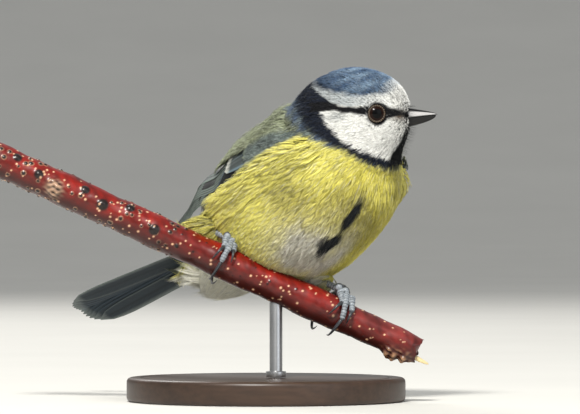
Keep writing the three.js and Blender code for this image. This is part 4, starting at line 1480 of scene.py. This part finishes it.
def bump(x, angle, at, size, height):
    """A round swelling on the bark, by its place along and round the stem."""
    dx = (x - at[0]) / STEM_ALONG[0]
    turn = (angle - at[1] + 180) % 360 - 180
    dy = np.radians(turn) * STEM_RADIUS
    return height * np.exp(-((dx**2 + dy**2) / size**2) ** 1.4)


def small_bumps(x, angle, count, seed, low, high, size, height):
    rng = np.random.default_rng(seed)
    total = np.zeros_like(x)
    for _ in range(count):
        at = (rng.uniform(low, high), rng.uniform(0, 360))
        big = size * rng.uniform(0.6, 1.3)
        rows = np.abs(x[:, 0] - at[0]) < 4 * big
        lump = bump(x[rows], angle[rows], at, big, height * rng.uniform(0.6, 1.2))
        total[rows] = np.maximum(total[rows], lump)
    return total


stem_x, stem_angle = np.meshgrid(
    np.linspace(STEM_LEFT, STEM_RIGHT, STEM_ROWS),
    np.arange(STEM_SIDES) * 360 / STEM_SIDES,
    indexing="ij",
)
stem_turn = np.radians(stem_angle)
warts = small_bumps(stem_x, stem_angle, 150, 41, STEM_LEFT, -8, 0.42, 0.3)
warts = np.maximum(warts, small_bumps(stem_x, stem_angle, 60, 42, -10, 44, 0.26, 0.14))
for x, angle, size in WARTS:
    warts = np.maximum(warts, bump(stem_x, stem_angle, (x, angle), 0.95 * size, 0.42 * size))
pores = small_bumps(stem_x, stem_angle, 380, 43, STEM_LEFT, STEM_RIGHT - 4, 0.21, 0.09)
rims = small_bumps(stem_x, stem_angle, 150, 41, STEM_LEFT, -8, 0.6, 0.3)
scar = bump(stem_x, stem_angle, BUD_SCAR, 2, 1)
torn = np.maximum(*(bump(stem_x, stem_angle, (x, angle), size, 1.3) for x, angle, size in TORN))
wave = np.sin(stem_x * 1.7) + np.sin(stem_x * 0.61 + 2)
wrinkle = 0.05 * np.sin(stem_turn * 5 + wave) * np.sin(stem_turn * 2 + stem_x * 0.4)
smooth_at = around_stem(stem_x, stem_angle, 0)
grain = 0.5 * ripple(smooth_at, 1.1, 71) + 0.5 * ripple(smooth_at, 0.45, 72)
rough = ripple(smooth_at, 0.3, 73)
ragged = torn * 0.45 * rough + scar * 0.3 * rough
relief = warts + pores + 0.9 * scar + torn + wrinkle + ragged
print("bark relief up to", relief.max().round(2), "mm")

# %% Roll the bark
snapped = 0.8 + 0.5 * np.sin(stem_turn * 3 + 1) + 0.3 * np.sin(stem_turn * 7)
torn_x = stem_x - np.clip(snapped, 0, 2) * ramp(stem_x, 48, STEM_RIGHT)
bark_points = around_stem(torn_x, stem_angle, relief).reshape(-1, 3)
row, side = np.meshgrid(np.arange(STEM_ROWS - 1), np.arange(STEM_SIDES), indexing="ij")
a = row * STEM_SIDES + side
b = row * STEM_SIDES + (side + 1) % STEM_SIDES
bark_faces = np.stack([a, b, b + STEM_SIDES, a + STEM_SIDES], -1).reshape(-1, 4)
bark = write_piece("bark", bark_points, bark_faces)

# %% Colours of the bark
BARK_RED = srgb(134, 20, 9)
BARK_DARK = srgb(54, 14, 10)
BARK_ROSE = srgb(112, 58, 56)
PORE = srgb(222, 176, 140)
WART = srgb(26, 15, 13)
SCAR = srgb(186, 150, 124)
TORN_WOOD = srgb(168, 128, 96)
layers = [  # a colour and how much of it covers what is under it, from the first to the last
    # painted shade: the underside of the stem is painted darker
    (BARK_DARK, 0.9 * np.clip(0.4 - np.sin(stem_turn), 0, 1)),
    (BARK_ROSE, 0.6 * (soft_step(stem_x, 30, 14) * np.clip(np.sin(stem_turn) + 0.2, 0, 1))),
    (BARK_DARK, 0.35 + 0.4 * grain),
    (PORE, 0.45 * soft_step(rims, 0.09, 0.06) * soft_step(-stem_x, 12, 8)),
    (WART, warts / 0.12),
    (PORE, pores / 0.05),
    (WART, 1.6 * scar),
    (SCAR, 1.5 * scar * (0.55 + 0.6 * rough)),
    (BARK_DARK, torn * (0.4 - 0.8 * rough)),
    (TORN_WOOD, torn * (0.2 + 0.8 * rough)),
]
bark_colour = BARK_RED
for colour, share in layers:
    bark_colour = blend_to(bark_colour, colour, share)
paint(bark, bark_colour.reshape(-1, 3))
face_out(bark)
settle(bark, "bark", "perch")

# %% Splinter
SPLINTER_ROWS, SPLINTER_SIDES = 40, 16
SPLINTER_WOOD = srgb(222, 200, 150)
t = np.linspace(0, 1, SPLINTER_ROWS)
splinter_line = around_stem(47.5 + 6.9 * t, -64 - 8 * t, -1.5 + 0.3 * t)
splinter_radius = 1.3 * (1 - t) ** 0.45 + 0.07
fibres = 1 + 0.12 * np.sin(5 * turns(SPLINTER_SIDES))[None] * np.ones((SPLINTER_ROWS, 1))
splinter = bar("splinter", splinter_line, splinter_radius[:, None] * fibres, SPLINTER_SIDES, 0.6)
paint(splinter, np.broadcast_to(SPLINTER_WOOD, (len(splinter.data.vertices), 3)))
settle(splinter, "bark")

# %% [markdown]
# The stand is as plain as a museum's: a turned disc of dark stained wood and one steel rod. The disc
# starts as a cylinder, its rims are bevelled, and a shallow groove is inset near the edge. The rod
# gets a small collar where it enters the wood.

# %% Stand base
BASE_RADIUS, BASE_HEIGHT = 35, 6
SHARP_ANGLE = math.radians(28)
base_middle = (base_low + base_high) / 2
base = add_primitive(
    "display_base",
    bpy.ops.mesh.primitive_cylinder_add,
    vertices=192,
    radius=BASE_RADIUS * MM,
    depth=BASE_HEIGHT * MM,
    location=(base_middle * MM).tolist(),
)
modify(base, "BEVEL", width=1.1 * MM, segments=6, limit_method="ANGLE")
for face in base.data.polygons:
    face.select = face.normal.z > 0.9999
bpy.ops.object.mode_set(mode="EDIT")
bpy.ops.mesh.select_mode(type="FACE")
for thickness, depth in ((2.2, 0), (0.25, -0.25), (0.5, 0), (0.25, 0.25)):
    bpy.ops.mesh.inset(thickness=thickness * MM, depth=depth * MM)
bpy.ops.object.mode_set(mode="OBJECT")
bpy.ops.object.shade_smooth_by_angle(angle=SHARP_ANGLE)
settle(base, "stand_wood", "stand_base")

# %% Stand rod
ROD_RADIUS = 1.6
COLLAR_HEIGHT, COLLAR_THICKNESS = 1.4, 0.9
rod_low, rod_high = (np.array(corner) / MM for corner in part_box("stand_rod"))
rod_middle = (rod_low + rod_high) / 2
rod = add_primitive(
    "display_rod",
    bpy.ops.mesh.primitive_cylinder_add,
    vertices=96,
    radius=ROD_RADIUS * MM,
    depth=(rod_high[2] - rod_low[2]) * MM,
    location=(rod_middle * MM).tolist(),
)
collar_top = Vector((0, 0, (rod_low[2] + COLLAR_HEIGHT) * MM))
bpy.ops.object.mode_set(mode="EDIT")
bpy.ops.mesh.select_all(action="SELECT")
bpy.ops.mesh.bisect(plane_co=collar_top, plane_no=(0, 0, 1))
bpy.ops.object.mode_set(mode="OBJECT")
for face in rod.data.polygons:
    face.select = abs(face.normal.z) < 0.5 and face.center.z < collar_top.z
bpy.ops.object.mode_set(mode="EDIT")
bpy.ops.mesh.select_mode(type="FACE")
thicker = {"value": COLLAR_THICKNESS * MM}
bpy.ops.mesh.extrude_region_shrink_fatten(TRANSFORM_OT_shrink_fatten=thicker)
bpy.ops.object.mode_set(mode="OBJECT")
modify(rod, "BEVEL", width=0.18 * MM, segments=3, limit_method="ANGLE")
bpy.ops.object.shade_smooth_by_angle(angle=SHARP_ANGLE)
settle(rod, "stand_steel", "stand_rod")

# %% [markdown]
# Materials come next. Most pieces carry their colours on their points under the name plumage, and a
# material adds what is finer than a point: barbs, scratches, grain, pores. Two effects are used by
# many finishes, so each is a node group: fine_lines draws streaks in one direction, and mottle lets
# a colour drift a little, as nothing real is even. Two short helpers add a node and feed its sockets.

# %% Shader groups
def feed(tree, target, *ordered, **named):
    """Gives a node's sockets, in their order or by name, a value or another node's output.

    A name in small letters is a setting of the node itself, and a low line stands for a space.
    """
    sockets = list(zip(target.inputs, ordered))
    for name, value in named.items():
        if name.islower():
            setattr(target, name, value)
        else:
            sockets.append((target.inputs[name.replace("_", " ")], value))
    for socket, value in sockets:
        if isinstance(value, bpy.types.NodeSocket):
            tree.links.new(value, socket)
        else:
            socket.default_value = value
    return target


def node(tree, kind, *ordered, **named):
    return feed(tree, tree.nodes.new("ShaderNode" + kind), *ordered, **named)


def new_group(name, inputs, outputs):
    """A node group with its sockets: each input has a kind and, where it needs one, a value."""
    group = bpy.data.node_groups.new(name, "ShaderNodeTree")
    for socket, kind, default in inputs:
        made = group.interface.new_socket(
            name=socket, in_out="INPUT", socket_type="NodeSocket" + kind
        )
        if default is not None:
            made.default_value = default
    for socket, kind in outputs:
        group.interface.new_socket(name=socket, in_out="OUTPUT", socket_type="NodeSocket" + kind)
    return group, group.nodes.new("NodeGroupInput").outputs, group.nodes.new("NodeGroupOutput")


def fine_lines_group():
    """Streaks across the first axis of a vector, as a colour factor and a height."""
    group, given, result = new_group(
        "fine_lines",
        [("Vector", "Vector", None), ("Scale", "Vector", (1, 1, 1)), ("Strength", "Float", 0.3)],
        [("Factor", "Float"), ("Height", "Float")],
    )
    stretched = node(group, "VectorMath", given["Vector"], given["Scale"], operation="MULTIPLY")
    noise = node(group, "TexNoise", Vector=stretched.outputs[0], Scale=1, Detail=3).outputs["Fac"]
    around_zero = node(group, "Math", noise, 0.5, operation="SUBTRACT").outputs[0]
    factor = node(group, "Math", around_zero, given["Strength"], 1, operation="MULTIPLY_ADD")
    feed(group, result, Factor=factor.outputs[0], Height=noise)
    return group


def mottle_group():
    """A slow drift of a colour towards a darker or lighter one."""
    group, given, result = new_group(
        "mottle",
        [("Color", "Color", None), ("Scale", "Float", 300), ("Amount", "Float", 0.2)],
        [("Color", "Color"), ("Mask", "Float")],
    )
    at = node(group, "TexCoord").outputs["Object"]
    noise = node(group, "TexNoise", Vector=at, Scale=given["Scale"], Detail=4).outputs["Fac"]
    low = node(group, "Math", 1, given["Amount"], operation="SUBTRACT").outputs[0]
    high = node(group, "Math", 1, given["Amount"], operation="ADD").outputs[0]
    drift = node(
        group, "MapRange", Value=noise, From_Min=0.3, From_Max=0.7, To_Min=low, To_Max=high
    )
    colour = node(group, "VectorMath", given["Color"], operation="SCALE", Scale=drift.outputs[0])
    feed(group, result, Color=colour.outputs[0], Mask=noise)
    return group


FINE_LINES = fine_lines_group()
MOTTLE = mottle_group()
print("groups:", [g.name for g in bpy.data.node_groups])

# %% Material helpers
def material(name, **named):
    """A new material with its tree and its shader, which gets the values that are named."""
    made = bpy.data.materials.new(name)
    made.use_nodes = True
    tree = made.node_tree
    return made, tree, feed(tree, tree.nodes["Principled BSDF"], **named)


def painted(tree):
    """The colour that is stored on the points."""
    return node(tree, "Attribute", attribute_name="plumage").outputs["Color"]


def in_place(tree):
    """Where each point is in its piece, in metres."""
    return node(tree, "TexCoord").outputs["Object"]


def mottled(tree, colour, scale, amount):
    """A colour that drifts a little, and the drift as a mask."""
    made = node(tree, "Group", node_tree=MOTTLE, Color=colour, Scale=scale, Amount=amount)
    return made.outputs["Color"], made.outputs["Mask"]


def lined(tree, colour, vector, scale, strength):
    """A colour with fine lines across the vector, and the lines as a height."""
    made = node(
        tree, "Group", node_tree=FINE_LINES, Vector=vector, Scale=scale, Strength=strength
    )
    return times(tree, colour, made.outputs["Factor"]), made.outputs["Height"]


def times(tree, colour, factor):
    return node(tree, "VectorMath", colour, operation="SCALE", Scale=factor).outputs[0]


def finish(tree, shader, colour, height=None, strength=1, distance=1):
    """Joins the colour to the shader, and a height as bumps of a depth in millimetres."""
    feed(tree, shader, Base_Color=colour)
    if height is not None:
        bump = node(tree, "Bump", Strength=strength, Distance=distance * MM, Height=height)
        feed(tree, shader, Normal=bump.outputs["Normal"])


def dress(made, *pieces):
    for piece in pieces:
        piece.data.materials.clear()
        piece.data.materials.append(made)
    print(f"{made.name} on {', '.join(piece.name for piece in pieces)}")

# %% [markdown]
# Small feathers are soft and matt. Their strands are already modelled, so the material adds only a
# slight drift of colour, and a weak sheen for the fluff at their edges.

# %% Coat and skin materials
down, tree, shader = material(
    "soft_feathers",
    Roughness=0.78,
    Specular_IOR_Level=0.15,
    Sheen_Weight=0.04,
    Sheen_Roughness=0.5,
)
colour, mask = mottled(tree, painted(tree), 900, 0.05)
finish(tree, shader, colour)
dress(down, *coat)

under, tree, shader = material("skin_under_feathers", Roughness=0.85)
colour, mask = mottled(tree, painted(tree), 1500, 0.3)
finish(tree, shader, colour, mask, 0.5, 0.2)
dress(under, skin, *thighs)

# %% [markdown]
# A vane shows hundreds of barbs that slope from the shaft towards the tip. They are drawn by
# mirroring the web's map at the shaft and slanting it, then streaking it across the slant.

# %% Vane material
BARB_SLANT = -0.22
webs, tree, shader = material("vane_webs", Roughness=0.55, Specular_IOR_Level=0.2)
web = node(tree, "SeparateXYZ", node(tree, "UVMap", uv_map="Web").outputs["UV"]).outputs
from_shaft = node(tree, "Math", web["X"], 0.5, operation="SUBTRACT").outputs[0]
mirrored = node(tree, "Math", from_shaft, operation="ABSOLUTE").outputs[0]
slant = node(tree, "Math", mirrored, BARB_SLANT, web["Y"], operation="MULTIPLY_ADD").outputs[0]
slanted = node(tree, "CombineXYZ", web["X"], slant).outputs[0]
colour, height = lined(tree, painted(tree), slanted, (2, 110, 1), 0.9)
finish(tree, shader, colour, height, 0.6, 0.08)
vane_names = ("wing_feathers_right", "wing_feathers_left", "tail_feathers")
dress(webs, *(bpy.data.objects[name] for name in vane_names))

# %% [markdown]
# Horn is hard and polished, with faint lines along its growth. The eye is wetter still: a clear coat
# over the dark ball gives the sharp catchlight that makes a bird look alive.

# %% Horn, eye and lid materials
horn, tree, shader = material("bill_horn", Roughness=0.34, Specular_IOR_Level=0.3)
colour, height = lined(tree, painted(tree), in_place(tree), (350, 2600, 2600), 0.35)
finish(tree, shader, colour, height, 0.25, 0.05)
dress(horn, *bill)

wet, tree, shader = material(
    "wet_eye",
    Roughness=0.3,
    Specular_IOR_Level=0.04,
    Coat_Weight=0.4,
    Coat_IOR=1.3,
    Coat_Roughness=0.02,
)
finish(tree, shader, painted(tree))
dress(wet, *eyes)

rim, tree, shader = material("lid_skin", Roughness=0.6)
colour, mask = mottled(tree, painted(tree), 2500, 0.25)
finish(tree, shader, colour, mask, 0.5, 0.06)
dress(rim, *lids)

# %% Foot and claw materials
scaly, tree, shader = material("foot_plates", Roughness=0.48)
cells = node(tree, "TexVoronoi", feature="DISTANCE_TO_EDGE", Vector=in_place(tree), Scale=2300)
edges = node(tree, "MapRange", Value=cells.outputs["Distance"], From_Max=0.12, To_Min=0.55)
colour, mask = mottled(tree, painted(tree), 900, 0.25)
finish(tree, shader, times(tree, colour, edges.outputs[0]), edges.outputs[0], 0.5, 0.06)
dress(scaly, *feet)

keratin, tree, shader = material("claw_horn", Roughness=0.3)
colour, mask = mottled(tree, (*srgb(52, 54, 58), 1), 1400, 0.35)
finish(tree, shader, colour, mask, 0.3, 0.04)
dress(keratin, *claws)

# %% [markdown]
# Young bark is a thin glossy film over darker layers. Large spots are already on its points; fine
# specks and lengthwise streaks are added here, and the film is broken by rougher patches.

# %% Bark material
red, tree, shader = material(
    "red_bark", Specular_IOR_Level=0.3, Coat_Weight=0.3, Coat_Roughness=0.22
)
lengthwise = node(tree, "Mapping", in_place(tree), Rotation=(0, -STEM_SLOPE, 0)).outputs[0]
colour, height = lined(tree, painted(tree), lengthwise, (160, 900, 900), 0.7)
colour, mask = mottled(tree, colour, 260, 0.22)
film = node(tree, "MapRange", Value=mask, To_Min=0.2, To_Max=0.55)
feed(tree, shader, Roughness=film.outputs[0])
finish(tree, shader, colour, height, 0.4, 0.12)
dress(red, bark, splinter)

# %% Stand materials
stained, tree, shader = material("stained_wood", Roughness=0.4)
colour, mask = mottled(tree, (*srgb(58, 42, 32), 1), 60, 0.25)
colour, height = lined(tree, colour, in_place(tree), (40, 900, 900), 1.1)
finish(tree, shader, colour, height, 0.3, 0.05)
dress(stained, base)

steel, tree, shader = material("brushed_steel", Roughness=0.32, Metallic=1)
colour, mask = mottled(tree, (*srgb(190, 191, 193), 1), 200, 0.06)
colour, height = lined(tree, colour, in_place(tree), (400, 400, 9000), 0.3)
finish(tree, shader, colour, height, 0.15, 0.02)
dress(steel, rod)

# %% [markdown]
# The studio is a pale floor that rises far behind into a soft bowl, so no line cuts the picture. A
# lamp high on the left stands for the sun of the photograph, and the pale surroundings fill the
# shadows.

# %% Floor
FLOOR_START, FLOOR_FLAT, FLOOR_RADIUS, FLOOR_RISE = 0.02, 1.6, 4.5, 1.3  # in metres
FLOOR_STEPS = 14
floor = add_primitive(
    "studio_floor",
    bpy.ops.mesh.primitive_circle_add,
    vertices=128,
    radius=FLOOR_START,
    fill_type="NGON",
)
widths = [FLOOR_START, FLOOR_FLAT]
heights = [0, 0]
for step in range(1, FLOOR_STEPS + 1):
    widths.append(FLOOR_FLAT + (FLOOR_RADIUS - FLOOR_FLAT) * step / FLOOR_STEPS)
    heights.append(FLOOR_RISE * (step / FLOOR_STEPS) ** 2)
bpy.ops.object.mode_set(mode="EDIT")
bpy.ops.mesh.select_all(action="SELECT")
for ring in range(1, len(widths)):
    wider = widths[ring] / widths[ring - 1]
    climb = heights[ring] - heights[ring - 1]
    bpy.ops.mesh.extrude_region_move(TRANSFORM_OT_translate={"value": (0, 0, climb)})
    bpy.ops.transform.resize(value=(wider, wider, 1))
bpy.ops.mesh.delete(type="ONLY_FACE")
bpy.ops.object.mode_set(mode="OBJECT")
bpy.ops.object.shade_smooth()
pale, tree, shader = material("pale_floor", Roughness=0.9)
colour, mask = mottled(tree, (*srgb(212, 211, 206), 1), 12, 0.02)
finish(tree, shader, colour)
dress(pale, floor)

# %% Lights
def lamp(name, position, target, size, watts, colour):
    data = bpy.data.lights.new(name, "AREA")
    data.energy = watts
    data.size = size
    data.color = colour
    light = bpy.data.objects.new(name, data)
    bpy.context.scene.collection.objects.link(light)
    light.location = position
    light.rotation_euler = (target - Vector(position)).to_track_quat("-Z", "Y").to_euler()
    return light


bird = Vector(BODY_CENTRE * MM)
lamp("key", (-0.22, -1.0, 1.1), bird, 0.22, 30, (1.0, 0.98, 0.93))
lamp("fill", (0.9, -0.9, 0.5), bird, 0.9, 3, (0.9, 0.95, 1.0))
lamp("rim", (-0.3, 0.9, 0.8), bird, 0.5, 6, (1.0, 0.98, 0.95))
world = bpy.data.worlds.new("studio")
world.use_nodes = True
sky = world.node_tree.nodes["Background"]
feed(world.node_tree, sky, Color=(0.86, 0.88, 0.9, 1), Strength=0.42)
bpy.context.scene.world = world
bpy.context.scene.view_settings.view_transform = "Standard"

# %% [markdown]
# The photograph was taken level with the bird through a long lens. One pixel of it is a quarter of a
# millimetre at the bird, which sets how far away a 300 mm lens stands.

# %% Camera
MM_PER_PIXEL = 0.25
PICTURE_WIDTH = 580
LENS, SENSOR = 300, 36
PICTURE_MIDDLE = np.array([19, 0, 48.75]) + SHIFT
camera_data = bpy.data.cameras.new("camera")
camera_data.lens = LENS
camera_data.sensor_width = SENSOR
camera_data.clip_end = 20
camera = bpy.data.objects.new("camera", camera_data)
bpy.context.scene.collection.objects.link(camera)
distance = PICTURE_WIDTH * MM_PER_PIXEL * LENS / SENSOR
camera.location = (PICTURE_MIDDLE - [0, distance, 0]) * MM
camera.rotation_euler = (math.pi / 2, 0, 0)
bpy.context.scene.camera = camera
print("camera stands", round(distance), "mm away")
